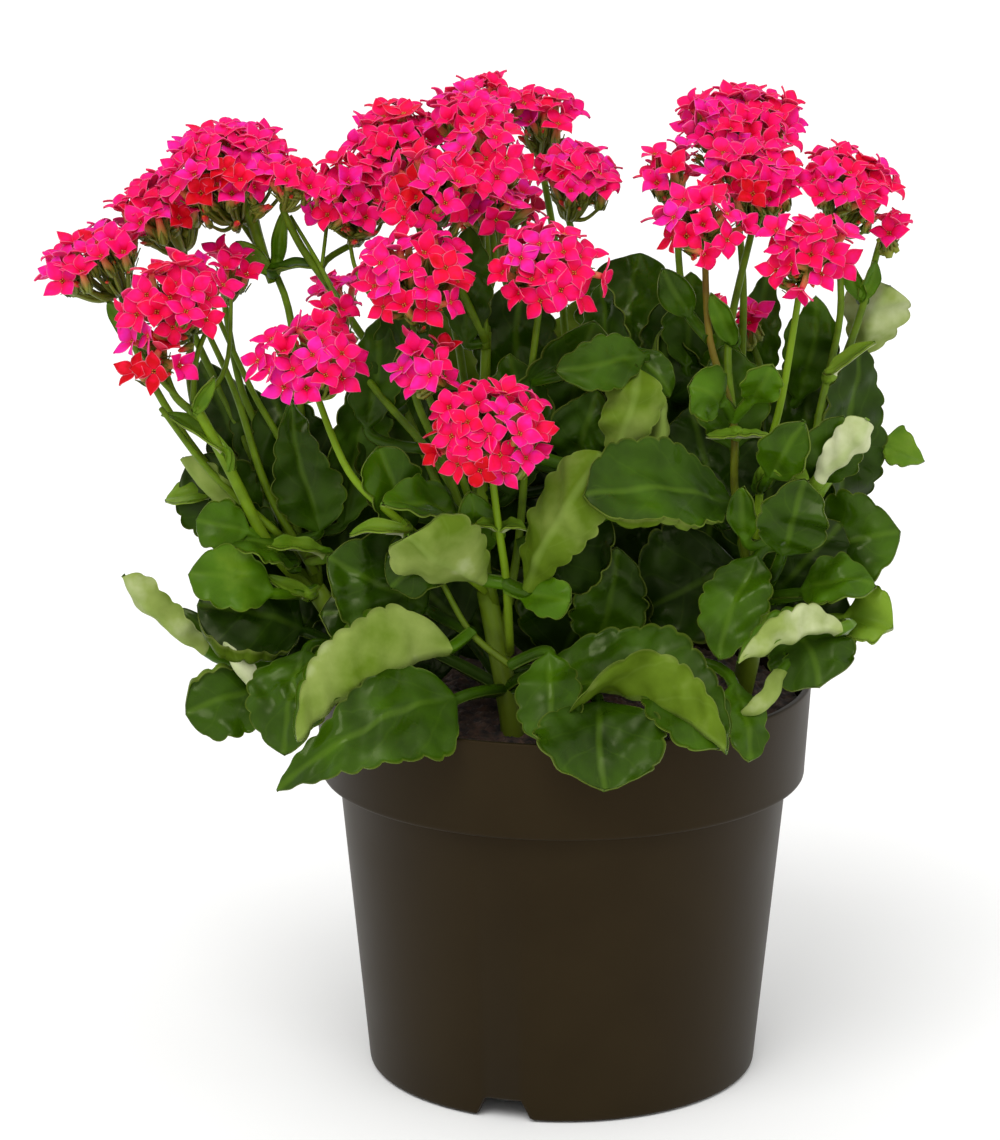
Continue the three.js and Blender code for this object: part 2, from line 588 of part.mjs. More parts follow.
        left: [5, 10], right: [5, 10] },
      { base: [61, 7, 161], tip: [54, 12, 188], face: [-0.1, -0.9, 0.2], width: 26, arch: 3,
        left: [5, 10], right: [5, 10] },
      { base: [83, 5, 184], tip: [83, 0, 207], face: [0.2, 0.9, 0.2], width: 19, arch: -2,
        left: [10, 30], right: [10, 30] },
      { base: [61, -5, 136], tip: [82, -8, 195], face: [0.4, -0.85, 0.3], width: 40, arch: 5,
        left: [5, 10], right: [5, 10] },
      { base: [58, -10, 137], tip: [77, -20, 172], face: [0.3, -0.85, 0.4], width: 44, arch: 5,
        left: [5, 10], right: [5, 10] },
      { base: [63, -28, 164], tip: [78, -40, 182], face: [0.3, 0.8, 0.5], width: 16, arch: -1,
        left: [20, 60], right: [15, 20] },
      { base: [50, -47, 147], tip: [63, -50, 169], face: [0.1, -0.95, 0.3], width: 36, arch: 4,
        left: [5, 10], right: [5, 10] },
      { base: [56, -38, 141], tip: [84, -40, 156], face: [0.2, -0.65, 0.7], width: 44, arch: 5,
        left: [5, 10], right: [5, 10] },
      { base: [51, -28, 128], tip: [77, -42, 138], face: [0.2, -0.65, 0.75], width: 36, arch: 5,
        left: [5, 15], right: [5, 10] },
      { base: [72, -50, 127], tip: [42, -64, 126], face: [0, -0.4, 0.9], width: 30, arch: 3,
        left: [95, 25], right: [20, 20] },
      { base: [59, -39, 121], tip: [70, -56, 118], face: [0, -0.6, 0.8], width: 36, arch: 3,
        left: [0, -10], right: [0, -10] },
      { base: [66, -20, 120], tip: [85, -18, 124], face: [0.1, 0.35, 0.9], width: 24, arch: 2,
        left: [5, 10], right: [5, 10] },
      { base: [46, -33, 147], tip: [37, -42, 120], face: [-0.3, -0.9, 0.2], width: 30, arch: 3,
        left: [5, 10], right: [5, 10] },
      { base: [58, -35, 112], tip: [44, -55, 110], face: [-0.1, 0.6, 0.6], width: 15, arch: -4,
        left: [15, 50], right: [15, 30] },
      { base: [44, -15, 138], tip: [19, -24, 128], face: [-0.1, -0.8, 0.5], width: 38, arch: 4,
        left: [5, 10], right: [5, 10] },
      { base: [53, -34, 166], tip: [61, -41, 184], face: [0.2, -0.9, 0.3], width: 22, arch: 3,
        left: [5, 10], right: [5, 80] },
    ],
  },
  {
    name: 'back',
    trunk: { points: [[2, 32, 97], [4, 34, 114], [4, 32, 134]], radii: [3.4, 2.6] },
    stalks: [],
    heads: [
      { name: 'back_right_top', middle: [-4, 30, 249], radius: 10.5, height: 0.8, axis: [0.1, -0.2, 1],
        from: [[4, 32, 131], [0, 34, 198]] },
      { name: 'right_of_summit', middle: [3, 5, 238], radius: 14, height: 0.7, axis: [0.15, -0.35, 0.9],
        from: [[4, 32, 132], [7, 15, 194]] },
      { name: 'back_left', middle: [-62, 46, 206], radius: 13, height: 0.8, axis: [-0.4, 0.5, 0.8],
        from: [[3, 33, 127], [-26, 42, 158], [-48, 42, 180]] },
      { name: 'back_middle', middle: [-18, 60, 216], radius: 15, height: 0.8, axis: [-0.1, 0.6, 0.8],
        from: [[4, 33, 130], [-6, 46, 170]] },
      { name: 'back_right', middle: [36, 54, 200], radius: 13, height: 0.8, axis: [0.3, 0.6, 0.75],
        from: [[4, 33, 130], [20, 44, 162]] },
    ],
    leaves: [
      { base: [20, 15, 178], tip: [21, 25, 212], face: [-0.1, -0.9, 0.3], width: 36, arch: 4,
        left: [10, 20], right: [10, 20] },
      { base: [16, 3, 175], tip: [8, 6, 211], face: [-0.4, -0.8, 0.3], width: 28, arch: 3,
        left: [10, 40], right: [10, 30] },
      { base: [26, -3, 172], tip: [23, -14, 198], face: [0.2, -0.9, 0.3], width: 28, arch: 3,
        left: [10, 60], right: [10, 50] },
      { base: [34, 8, 172], tip: [26, 16, 207], face: [-0.1, -0.9, 0.2], width: 32, arch: 3,
        left: [10, 20], right: [10, 20] },
      { base: [-10, 40, 124], tip: [-52, 60, 122], face: [-0.2, 0.4, 0.9], width: 40, arch: 6,
        left: [5, 15], right: [5, 15] },
      { base: [0, 46, 118], tip: [-8, 84, 106], face: [-0.1, 0.5, 0.85], width: 44, arch: 7,
        left: [5, 20], right: [0, 15] },
      { base: [14, 42, 122], tip: [46, 66, 112], face: [0.3, 0.4, 0.85], width: 42, arch: 6,
        left: [5, 15], right: [5, 20] },
      { base: [-18, 34, 138], tip: [-56, 44, 152], face: [-0.3, 0.6, 0.7], width: 38, arch: 5,
        left: [10, 15], right: [5, 15] },
      { base: [-8, 46, 146], tip: [-28, 74, 160], face: [-0.1, 0.7, 0.7], width: 36, arch: 5,
        left: [5, 20], right: [5, 20] },
      { base: [10, 44, 144], tip: [20, 76, 152], face: [0.2, 0.7, 0.7], width: 40, arch: 5,
        left: [5, 20], right: [5, 20] },
      { base: [20, 34, 138], tip: [56, 44, 142], face: [0.3, 0.5, 0.8], width: 38, arch: 5,
        left: [5, 15], right: [5, 15] },
      { base: [-14, 32, 166], tip: [-34, 38, 194], face: [-0.3, 0.8, 0.4], width: 32, arch: 4,
        left: [5, 15], right: [5, 15] },
      { base: [8, 42, 168], tip: [10, 58, 196], face: [0.1, 0.9, 0.3], width: 34, arch: 4,
        left: [5, 15], right: [5, 15] },
    ],
  },
];

function stemsOf(cutting) {
  const stalks = cutting.heads.map((head) => ({
    points: [...head.from, forkOf(head).toArray(), underHead(head, 0, 0, GAP).toArray()],
    radii: [1.8, 1.2],
    sides: STALK_SIDES,
  }));
  const [x, y] = cutting.trunk.points[0];
  const trunk = {
    points: [[x, y, SOIL_EDGE - HOLE_DEPTH + GAP + 2], ...cutting.trunk.points],
    radii: cutting.trunk.radii,
    sides: TRUNK_SIDES,
  };
  const shared = cutting.stalks.map((stalk) => ({ ...stalk, sides: STALK_SIDES }));
  return [trunk, ...shared, ...stalks];
}

function makeCutting(cutting) {
  const stems = stemsOf(cutting);
  const solids = [
    ...stems.map((stem) => tube(stem.points, stem.radii, stem.sides)),
    ...cutting.leaves.map((leaf) => makeLeaf(leaf, nearestOnStems(stems, vec(leaf.base)))),
    ...cutting.heads.filter((head) => head.radius > FORKED_HEAD).flatMap(pedicels),
  ];
  return fuse(solids);
}

// ---- soil ---------------------------------------------------------------------------------------

function makeSoil() {
  const inside = (z) => {
    const low = FLOOR_HEIGHT + WALL;
    const share = (z - low) / (COLLAR_BOTTOM - low);
    return THREE.MathUtils.lerp(BASE_RADIUS, BODY_TOP_RADIUS, Math.min(share, 1)) - WALL - 2 * GAP;
  };
  const low = FLOOR_HEIGHT + WALL + GAP;
  const profile = [
    [0, low],
    [inside(low), low],
    [inside(COLLAR_BOTTOM), COLLAR_BOTTOM],
    [COLLAR_BOTTOM_RADIUS - WALL - 1, COLLAR_BOTTOM + 4],
    [RIM_RADIUS - WALL - 2.2, SOIL_EDGE],
    [50, SOIL_EDGE + 0.8],
    [36, SOIL_MIDDLE - 0.8],
    [18, SOIL_MIDDLE],
    [0, SOIL_MIDDLE],
  ].map(([radius, z]) => new THREE.Vector2(radius, z));
  const geometry = new THREE.LatheGeometry(profile, SOIL_SEGMENTS);
  geometry.rotateX(Math.PI / 2);
  const place = geometry.attributes.position;
  for (let i = 0; i < place.count; i += 1) {
    const [x, y, z] = [place.getX(i), place.getY(i), place.getZ(i)];
    if (z > SOIL_EDGE + 0.1 && Math.hypot(x, y) > 1) {
      place.setZ(i, z + SOIL_LUMP * Math.sin(0.31 * x + 1) * Math.cos(0.27 * y));
    }
  }
  let soil = solidOf(geometry);
  for (const { trunk } of CUTTINGS) {
    const [x, y] = trunk.points[0];
    const radius = trunk.radii[0] + 1;
    const hole = new THREE.CylinderGeometry(radius, radius, HOLE_DEPTH + 4, HOLE_SIDES);
    hole.rotateX(Math.PI / 2);
    hole.translate(x, y, SOIL_EDGE - HOLE_DEPTH + 2 + (HOLE_DEPTH + 4) / 2);
    soil = soil.subtract(solidOf(hole));
  }
  return soil;
}

// ---- assembly -----------------------------------------------------------------------------------

const MATERIALS = {
  pot: new THREE.MeshStandardMaterial({ color: 0x33281e, roughness: 0.55, metalness: 0 }),
  soil: new THREE.MeshStandardMaterial({ color: 0x1e1410, roughness: 0.95, metalness: 0 }),
  leaves: new THREE.MeshStandardMaterial({ color: 0x3f6e10, roughness: 0.4, metalness: 0 }),
  petals: new THREE.MeshStandardMaterial({ color: 0xff1e78, roughness: 0.5, metalness: 0 }),
};

const plant = new THREE.Group();

function addNode(name, solid, material) {
  const mesh = new THREE.Mesh(geometryOf(solid), material.clone());
  mesh.name = name;
  plant.add(mesh);
}

addNode('pot', makePot(), MATERIALS.pot);
addNode('soil', makeSoil(), MATERIALS.soil);
for (const cutting of CUTTINGS) {
  addNode(`leafy_stem_${cutting.name}`, makeCutting(cutting), MATERIALS.leaves);
}

// Neighbouring heads press against each other on the plane midway between them
const heads = CUTTINGS.flatMap((cutting) => cutting.heads);
for (const head of heads) {
  let solid = makeHead(head);
  const { centre } = domeOf(head);
  for (const other of heads) {
    const apart = domeOf(other).centre.sub(centre);
    const touching = head.radius + other.radius + 5;
    if (other === head || apart.length() > touching) continue;
    const share = head.radius / (head.radius + other.radius);
    const normal = apart.clone().normalize();
    const offset = centre.clone().addScaledVector(apart, share).dot(normal) - GAP / 2;
    solid = solid.trimByPlane(normal.clone().negate().toArray(), -offset);
  }
  addNode(`head_${head.name}`, oneBody(solid), MATERIALS.petals);
}

export default plant;
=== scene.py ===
# Potted kalanchoe: hot-pink four-petalled florets in domed heads, scalloped fleshy leaves, and a
# brown nursery pot. Metres, +Z up, the pot's axis on Z, the front at -Y, in the frame of the packed
# part. The sizes of the pieces are written in millimetres.
import math

import bpy
import numpy as np
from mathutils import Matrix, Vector


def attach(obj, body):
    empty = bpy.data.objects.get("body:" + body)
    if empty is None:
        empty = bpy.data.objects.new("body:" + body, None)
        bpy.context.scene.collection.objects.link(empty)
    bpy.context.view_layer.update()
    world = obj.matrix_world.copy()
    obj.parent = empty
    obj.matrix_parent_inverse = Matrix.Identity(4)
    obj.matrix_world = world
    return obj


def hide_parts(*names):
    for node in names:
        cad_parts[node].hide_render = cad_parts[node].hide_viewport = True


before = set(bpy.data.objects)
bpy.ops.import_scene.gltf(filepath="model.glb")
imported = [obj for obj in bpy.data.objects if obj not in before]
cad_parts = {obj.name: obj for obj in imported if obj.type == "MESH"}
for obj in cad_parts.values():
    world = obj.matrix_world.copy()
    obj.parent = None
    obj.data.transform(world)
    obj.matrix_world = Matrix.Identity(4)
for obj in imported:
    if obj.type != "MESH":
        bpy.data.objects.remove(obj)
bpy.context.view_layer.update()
scene = bpy.context.scene
scene.view_settings.view_transform = "Standard"

# ---- camera --------------------------------------------------------------------------------------
# A long lens a little above the plant looks down on it, as in the photograph (1000 x 1140 pixels).
MM = 0.001
PHOTO_HEIGHT = 1140
FOCAL_PIXELS = 4219
SENSOR_WIDTH = 36
NEAREST_SEEN = 0.05
CAMERA_DISTANCE = 1.1
CAMERA_ELEVATION = math.radians(14.3)
CAMERA_TARGET = Vector((-0.01655, 0.0, 0.1333))

looking = Vector((0, math.cos(CAMERA_ELEVATION), -math.sin(CAMERA_ELEVATION)))
camera = bpy.data.objects.new("camera", bpy.data.cameras.new("camera"))
scene.collection.objects.link(camera)
camera.data.sensor_width = SENSOR_WIDTH
camera.data.lens = FOCAL_PIXELS * SENSOR_WIDTH / PHOTO_HEIGHT
camera.data.clip_start = NEAREST_SEEN
camera.location = CAMERA_TARGET - CAMERA_DISTANCE * looking
camera.rotation_euler = (math.pi / 2 - CAMERA_ELEVATION, 0, 0)
scene.camera = camera

# ---- light and floor -----------------------------------------------------------------------------
# A white studio: even light from all round, two wide umbrellas in front and a pale matte floor.
SKY_STRENGTH = 0.85
# Each umbrella: its name, the way to it, its strength and how wide it looks in degrees.
UMBRELLAS = [("key", (-0.3, -0.8, 1.1), 1.35, 34), ("fill", (0.7, -0.8, 0.5), 0.4, 70)]
FLOOR_REACH = 20.0
FLOOR_DROP = 0.0004


def srgb(colour, alpha=1.0):
    """The linear value of an sRGB hex colour such as "#3F6E10"."""
    parts = [int(colour[i:i + 2], 16) / 255 for i in (1, 3, 5)]
    return [c / 12.92 if c <= 0.04045 else ((c + 0.055) / 1.055) ** 2.4 for c in parts] + [alpha]


def feed(node, links):
    """Sets inputs of a node, each to a value or to the output that feeds it."""
    for name, value in links.items():
        if isinstance(value, bpy.types.NodeSocket):
            node.id_data.links.new(value, node.inputs[name])
        else:
            node.inputs[name].default_value = value


def put(tree, kind, links=None, **settings):
    """Adds a node with its settings, and feeds its inputs."""
    made = tree.nodes.new("ShaderNode" + kind)
    for name, value in settings.items():
        setattr(made, name, value)
    feed(made, links or {})
    return made


def material(name):
    """An empty material with its tree and its Principled shader."""
    made = bpy.data.materials.new(name)
    made.use_nodes = True
    made.node_tree.nodes.clear()
    shader = put(made.node_tree, "BsdfPrincipled")
    put(made.node_tree, "OutputMaterial", {"Surface": shader.outputs[0]})
    return made, made.node_tree, shader


def stops(ramp, colours):
    """Gives a ramp its colours, each at its place along it."""
    made = ramp.color_ramp.elements
    made[0].position, made[1].position = colours[0][0], colours[-1][0]
    made[0].color, made[1].color = srgb(colours[0][1]), srgb(colours[-1][1])
    for spot, colour in colours[1:-1]:
        made.new(spot).color = srgb(colour)


world = bpy.data.worlds.new("studio")
world.use_nodes = True
world.node_tree.nodes.clear()
sky = put(world.node_tree, "Background", {"Color": [1, 1, 1, 1], "Strength": SKY_STRENGTH})
put(world.node_tree, "OutputWorld", {"Surface": sky.outputs[0]})
scene.world = world

for name, toward, strength, spread in UMBRELLAS:
    lamp = bpy.data.objects.new("umbrella_" + name, bpy.data.lights.new(name, "SUN"))
    lamp.data.energy = strength
    lamp.data.angle = math.radians(spread)
    lamp.rotation_euler = Vector(toward).to_track_quat("Z", "Y").to_euler()
    scene.collection.objects.link(lamp)

# Matte paper: white, with hardly any sheen.
paper, tree, shader = material("matte white paper")
feed(shader, {"Base Color": srgb("#FBFBFA"), "Roughness": 0.9, "Specular IOR Level": 0.1})
floor_mesh = bpy.data.meshes.new("floor")
floor_mesh.from_pydata([(x * FLOOR_REACH, y * FLOOR_REACH, -FLOOR_DROP)
                        for x, y in ((-1, -1), (1, -1), (1, 1), (-1, 1))], [], [(0, 1, 2, 3)])
floor_mesh.materials.append(paper)
floor = bpy.data.objects.new("floor", floor_mesh)
scene.collection.objects.link(floor)

# ---- pot -----------------------------------------------------------------------------------------
# An injection-moulded polypropylene nursery pot: a tapering wall 1.6 mm thick, a proud collar that
# ends in a rounded rim, and a foot skirt with three drain notches round a raised floor with holes.
POT_HEIGHT = 105
RIM_RADIUS = 65
COLLAR_BOTTOM = 79.5
COLLAR_BOTTOM_RADIUS = 63.5
BODY_TOP_RADIUS = 59
BASE_RADIUS = 51.3
WALL = 1.6
FLOOR_HEIGHT = 6.5
SKIRT_TOP = 6.0
HUB_RADIUS = 14
EDGE_ROUNDING = 1.0
UNDERSIDE_ROUNDING = 0.5
NOTCH_WIDTH_LOW = 15
NOTCH_WIDTH_HIGH = 10
NOTCH_HEIGHT = 5.2
NOTCH_TURNS = [-108, 12, 132]
# The rows of points over a notch stay this share of their heights apart.
ROWS_APART = 0.12
LONGEST_CUT = 0.45
DRAIN_COUNT = 6
DRAIN_CIRCLE = 36
DRAIN_RADIUS = 4
DRAIN_SIDES = 24
POT_STEPS = 288
MELT_CLOUD = 25
GRAIN = 0.5


def piece(name, points, faces, materials, looks=None, attributes=None):
    """A piece of the plant or pot from points in millimetres. It rides on the part's one body."""
    mesh = bpy.data.meshes.new(name)
    mesh.from_pydata(np.asarray(points) * MM, [], faces)
    for look in materials:
        mesh.materials.append(look)
    if looks is not None:
        mesh.polygons.foreach_set("material_index", np.asarray(looks, dtype=np.int32))
    for title, values in (attributes or {}).items():
        values = np.asarray(values, dtype=np.float32)
        kind = "FLOAT_VECTOR" if values.ndim == 2 else "FLOAT"
        field = mesh.attributes.new(title, kind, "POINT")
        field.data.foreach_set("vector" if values.ndim == 2 else "value", values.ravel())
    mesh.polygons.foreach_set("use_smooth", [True] * len(mesh.polygons))
    mesh.validate()
    made = bpy.data.objects.new(name, mesh)
    scene.collection.objects.link(made)
    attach(made, "root")
    return made


def grid_faces(rows, columns, closed=False, start=0):
    """Four-sided faces of a grid, with its last column joined to its first if it is closed."""
    faces = []
    for i in range(rows - 1):
        for j in range(columns if closed else columns - 1):
            a, b = start + i * columns + j, start + i * columns + (j + 1) % columns
            faces.append((a, b, b + columns, a + columns))
    return faces


def rounded(corners, radius, steps=4):
    """A profile whose corners are rounded off, each by at most the radius given."""
    corners = [np.array(corner, dtype=float) for corner in corners]
    made = [corners[0]]
    for before, corner, after in zip(corners, corners[1:], corners[2:]):
        back, ahead = before - corner, after - corner
        cut = min(radius, *(LONGEST_CUT * np.linalg.norm(edge) for edge in (back, ahead)))
        a = corner + cut * back / np.linalg.norm(back)
        b = corner + cut * ahead / np.linalg.norm(ahead)
        for i in range(steps + 1):
            t = i / steps
            made.append((1 - t) ** 2 * a + 2 * t * (1 - t) * corner + t * t * b)
    return made + [corners[-1]]


def notch_height(x):
    """How high a drain notch is cut at a distance from its middle line."""
    slope = (NOTCH_WIDTH_LOW / 2 - abs(x)) / (NOTCH_WIDTH_LOW - NOTCH_WIDTH_HIGH) * 2
    return NOTCH_HEIGHT * min(max(slope, 0), 1)


# The section as distances from the axis and heights: up the outside from the foot, over the rim and
# down the inside to the hub, and then the underside from the foot to the middle of the hub.
shell = [
    (BASE_RADIUS - WALL - 0.4, 0), (BASE_RADIUS - 0.1, 0), (BASE_RADIUS + 0.2, 2.4),
    (BASE_RADIUS + 0.35, 4.2), (BODY_TOP_RADIUS, COLLAR_BOTTOM + 0.3),
    (COLLAR_BOTTOM_RADIUS, COLLAR_BOTTOM), (COLLAR_BOTTOM_RADIUS + 0.1, COLLAR_BOTTOM + 2.5),
    (RIM_RADIUS, POT_HEIGHT - 1.2), (RIM_RADIUS, POT_HEIGHT), (RIM_RADIUS - WALL - 0.2, POT_HEIGHT),
    (RIM_RADIUS - WALL - 0.3, POT_HEIGHT - 2), (COLLAR_BOTTOM_RADIUS - WALL, COLLAR_BOTTOM + 2.4),
    (BODY_TOP_RADIUS - WALL, COLLAR_BOTTOM), (BASE_RADIUS - WALL, FLOOR_HEIGHT + WALL),
    (HUB_RADIUS, FLOOR_HEIGHT + WALL),
]
underside = [
    (BASE_RADIUS - WALL - 0.4, 0), (BASE_RADIUS - WALL - 0.4, FLOOR_HEIGHT),
    (HUB_RADIUS, FLOOR_HEIGHT), (HUB_RADIUS, 0.3), (HUB_RADIUS - 0.4, 0), (0.5, 0),
]
profile = [*reversed(rounded(shell, EDGE_ROUNDING)), *rounded(underside, UNDERSIDE_ROUNDING)[1:]]
points = []
for radius, height in profile:
    for step in range(POT_STEPS):
        turn = 2 * math.pi * step / POT_STEPS
        z = height
        if radius > HUB_RADIUS + 1 and height < SKIRT_TOP:
            for middle in NOTCH_TURNS:
                off = (math.degrees(turn) - middle + 180) % 360 - 180
                low = notch_height(math.radians(off) * BASE_RADIUS)
                z = max(z, low + ROWS_APART * height)
        points.append((radius * math.cos(turn), radius * math.sin(turn), z))
faces = [face[::-1] for face in grid_faces(len(profile), POT_STEPS, closed=True)]
faces.append([(len(profile) - 1) * POT_STEPS + i for i in reversed(range(POT_STEPS))])
faces.append(list(range(POT_STEPS)))

# Satin moulded polypropylene: a fine spark-eroded grain breaks up the light, and the flow of the
# melt leaves faint cloudy changes in the gloss. The grain is drawn twice as coarse, so it shows.
plastic, tree, shader = material("moulded brown polypropylene")
where = put(tree, "TexCoord").outputs["Object"]
cloud = put(tree, "TexNoise", {"Vector": where, "Scale": 1 / (MELT_CLOUD * MM), "Detail": 3})
grain = put(tree, "TexNoise", {"Vector": where, "Scale": 1 / (2 * GRAIN * MM), "Detail": 2})
tone = put(tree, "MixRGB", {"Fac": cloud.outputs["Fac"], "Color1": srgb("#1D170C"),
                            "Color2": srgb("#272012")})
gloss = put(tree, "MapRange", {"Value": cloud.outputs["Fac"], "To Min": 0.40, "To Max": 0.52})
rough = put(tree, "Bump", {"Height": grain.outputs["Fac"], "Strength": 0.10, "Distance": 0.1 * MM})
feed(shader, {"Base Color": tone.outputs["Color"], "Roughness": gloss.outputs["Result"],
              "Normal": rough.outputs["Normal"], "IOR": 1.49, "Specular IOR Level": 0.14,
              "Specular Tint": srgb("#F6CFA6")})

pot = piece("nursery_pot", points, faces, [plastic])
points, faces = [], []
for number in range(DRAIN_COUNT):
    turn = 2 * math.pi * number / DRAIN_COUNT
    x, y = DRAIN_CIRCLE * math.cos(turn), DRAIN_CIRCLE * math.sin(turn)
    start = len(points)
    for height in (FLOOR_HEIGHT - WALL, FLOOR_HEIGHT + 2 * WALL):
        points += [(x + DRAIN_RADIUS * math.cos(t), y + DRAIN_RADIUS * math.sin(t), height)
                   for t in np.linspace(0, 2 * math.pi, DRAIN_SIDES, endpoint=False)]
    ring = range(start, start + DRAIN_SIDES)
    faces += [tuple(reversed(ring)), tuple(i + DRAIN_SIDES for i in ring)]
    faces += grid_faces(2, DRAIN_SIDES, closed=True, start=start)
punch_mesh = bpy.data.meshes.new("drain_punch")
punch_mesh.from_pydata(np.array(points) * MM, [], faces)
punch = bpy.data.objects.new("drain_punch", punch_mesh)
scene.collection.objects.link(punch)
drains = pot.modifiers.new("drain_holes", "BOOLEAN")
drains.object, drains.operation, drains.solver = punch, "DIFFERENCE", "EXACT"
punched = bpy.data.meshes.new_from_object(pot.evaluated_get(bpy.context.evaluated_depsgraph_get()))
pot.modifiers.remove(drains)
pot.data = punched
bpy.data.objects.remove(punch)
bpy.data.meshes.remove(punch_mesh)
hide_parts("pot")

# ---- soil ----------------------------------------------------------------------------------------
# Damp peat compost, pressed by hand to just under the rim: crumbs of a few millimetres with finer
# fibres between them, a little higher in the middle. The trunks grow out of it.
SOIL_EDGE = 98.5
SOIL_MIDDLE = 101
SOIL_RADIUS = 61.4
SOIL_RINGS = 110
SOIL_STEPS = 300
SOIL_SEED = 7
MOUND_RADIUS = 50
MOUND_SLOPE = 30
MOUND_HEIGHT = 1.3
RINGS_CROWD = 0.8
# The sides and foot of the root ball: distance from the axis, and height.
SOIL_WALL = [(SOIL_RADIUS - 1.5, SOIL_EDGE - 5), (60.5, 85), (56.8, 79), (48.9, 8.6)]
# The height, size and seed of the crumbs, and how deep all of them are pressed in.
CRUMBS = [(1.3, 5.2, 1), (0.9, 2.7, 2), (0.5, 1.5, 3)]
CRUMBS_PRESSED = 0.9
GRIT = 0.15
CRUMB_WAVES = 6
PEAT_LUMP = 3
PEAT_FIBRE = 0.8


def crumbs(x, y, size, seed):
    """A rough field of rounded lumps about one size across, between 0 and 1."""
    waves = np.random.default_rng(seed).uniform(0, 2 * math.pi, (CRUMB_WAVES, 2))
    total = np.zeros_like(x)
    for angle, phase in waves:
        total += np.sin((x * math.cos(angle) + y * math.sin(angle)) * 2 * math.pi / size + phase)
    return np.clip(total / CRUMB_WAVES + 0.5, 0, 1)


radii = SOIL_RADIUS * np.linspace(0, 1, SOIL_RINGS + 1)[1:] ** RINGS_CROWD
turns = np.linspace(0, 2 * math.pi, SOIL_STEPS, endpoint=False)
r, a = np.meshgrid(radii, turns, indexing="ij")
x, y = r * np.cos(a), r * np.sin(a)
lift = SOIL_EDGE + MOUND_HEIGHT * np.clip((MOUND_RADIUS - r) / MOUND_SLOPE, 0, 1)
lift += sum(high * crumbs(x, y, size, seed) for high, size, seed in CRUMBS)
lift += np.random.default_rng(SOIL_SEED).uniform(-GRIT, GRIT, lift.shape) - CRUMBS_PRESSED
points = [(0, 0, SOIL_MIDDLE), *map(tuple, np.stack([x, y, lift], -1).reshape(-1, 3))]
points += [(radius * math.cos(t), radius * math.sin(t), height)
           for radius, height in SOIL_WALL for t in turns]
faces = [(0, 1 + step, 1 + (step + 1) % SOIL_STEPS) for step in range(SOIL_STEPS)]
for row in range(SOIL_RINGS + len(SOIL_WALL) - 1):
    for step in range(SOIL_STEPS):
        p, q = (1 + row * SOIL_STEPS + i % SOIL_STEPS for i in (step, step + 1))
        faces.append((p, p + SOIL_STEPS, q + SOIL_STEPS, q))
faces.append([len(points) - 1 - i for i in range(SOIL_STEPS)])

# Damp peat: near black to red-brown in random lumps of a few millimetres, and matt.
peat, tree, shader = material("damp peat compost")
where = put(tree, "TexCoord").outputs["Object"]
lumps = put(tree, "TexNoise", {"Vector": where, "Scale": 1 / (PEAT_LUMP * MM), "Detail": 6})
spread = put(tree, "MapRange", {"Value": lumps.outputs["Fac"], "From Min": 0.35, "From Max": 0.68})
tone = put(tree, "MixRGB", {"Fac": spread.outputs["Result"], "Color1": srgb("#120B08"),
                            "Color2": srgb("#4A3224")})
fibres = put(tree, "TexNoise", {"Vector": where, "Scale": 1 / (PEAT_FIBRE * MM), "Detail": 4})
rough = put(tree, "Bump", {"Height": fibres.outputs["Fac"], "Strength": 0.6, "Distance": 0.4 * MM})
feed(shader, {"Base Color": tone.outputs["Color"], "Normal": rough.outputs["Normal"],
              "Roughness": 0.85})

soil = piece("peat_soil", points, faces, [peat])
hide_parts("soil")

# ---- florets and buds ----------------------------------------------------------------------------
# A floret is a swollen tube out of four green sepals, with four thin pointed petals that open from
# cupped to flat round a yellow eye. A bud is the same tube, still closed. Each kind grows in a few
# forms, which the heads below set out.
PETAL_LENGTH = 5.0
PETAL_WIDTH = 4.15
PETAL_THICKNESS = 0.3
PETAL_ROWS = 8
PETAL_COLUMNS = 5
# The share of the full width along a petal, from its throat to its tip.
PETAL_OUTLINE = ([0, 0.12, 0.26, 0.4, 0.55, 0.7, 0.84, 0.94, 1],
                 [0.30, 0.66, 0.95, 1.0, 0.88, 0.62, 0.33, 0.12, 0.02])
PETAL_HOLLOW = 0.35
CREASE_DEPTH = 0.18
CREASE_WIDTH = 0.25
EDGE_THINNING = 0.6
CUP_EASES = 0.6
DROOP_GROWS = 1.6
# How far the petals of a cupped and of a flat floret rise from its mouth, in degrees.
CUPPED = (45, 84)
FLAT = (12, 44)
# How petals vary: the cup and droop in degrees, the turn, the twist, and the size.
CUP_VARIES = 12
LEAST_DROOP = -10
MOST_DROOP = 0.9
DROOP_VARIES = 18
TURN_VARIES = 0.1
TWISTS = (0.8, 0.4)
PETAL_SIZES = (0.92, 1.06)
TUBE_LENGTH = 7
THROAT = 0.6
# Turned profiles, as distances from the axis and heights, from the mouth down.
TUBE_PROFILE = [(0.15, -2.2), (0.5, -1.2), (THROAT + 0.1, 0.05), (0.85, -0.8), (0.9, -2.2),
                (1.2, -4.2), (1.35, -5.6), (1.1, -7.0), (0.7, -TUBE_LENGTH)]
BUD_PROFILE = [(0.05, 0), (0.55, -0.8), (0.95, -2.0), (0.85, -3.4), (1.05, -4.6), (1.25, -6.0),
               (0.8, -7.6)]
CALYX_PROFILE = [(0.5, -TUBE_LENGTH - 1.0), (1.25, -TUBE_LENGTH - 0.2), (1.35, -TUBE_LENGTH + 0.6),
                 (1.0, -TUBE_LENGTH + 0.9)]
SEPAL_OUTLINE = ([0, 0.3, 0.6, 1.0], [0.75, 0.85, 0.55, 0.05])
SEPAL_HALF_WIDTH = 0.95
SEPAL_REACH = 1.45
SEPAL_ROWS = 4
# A sepal's section: across and out, round its two edges, its keel and its hollow inner side.
SEPAL_SECTION = [(-1, 0), (0, 0.25), (1, 0), (0, -0.1)]
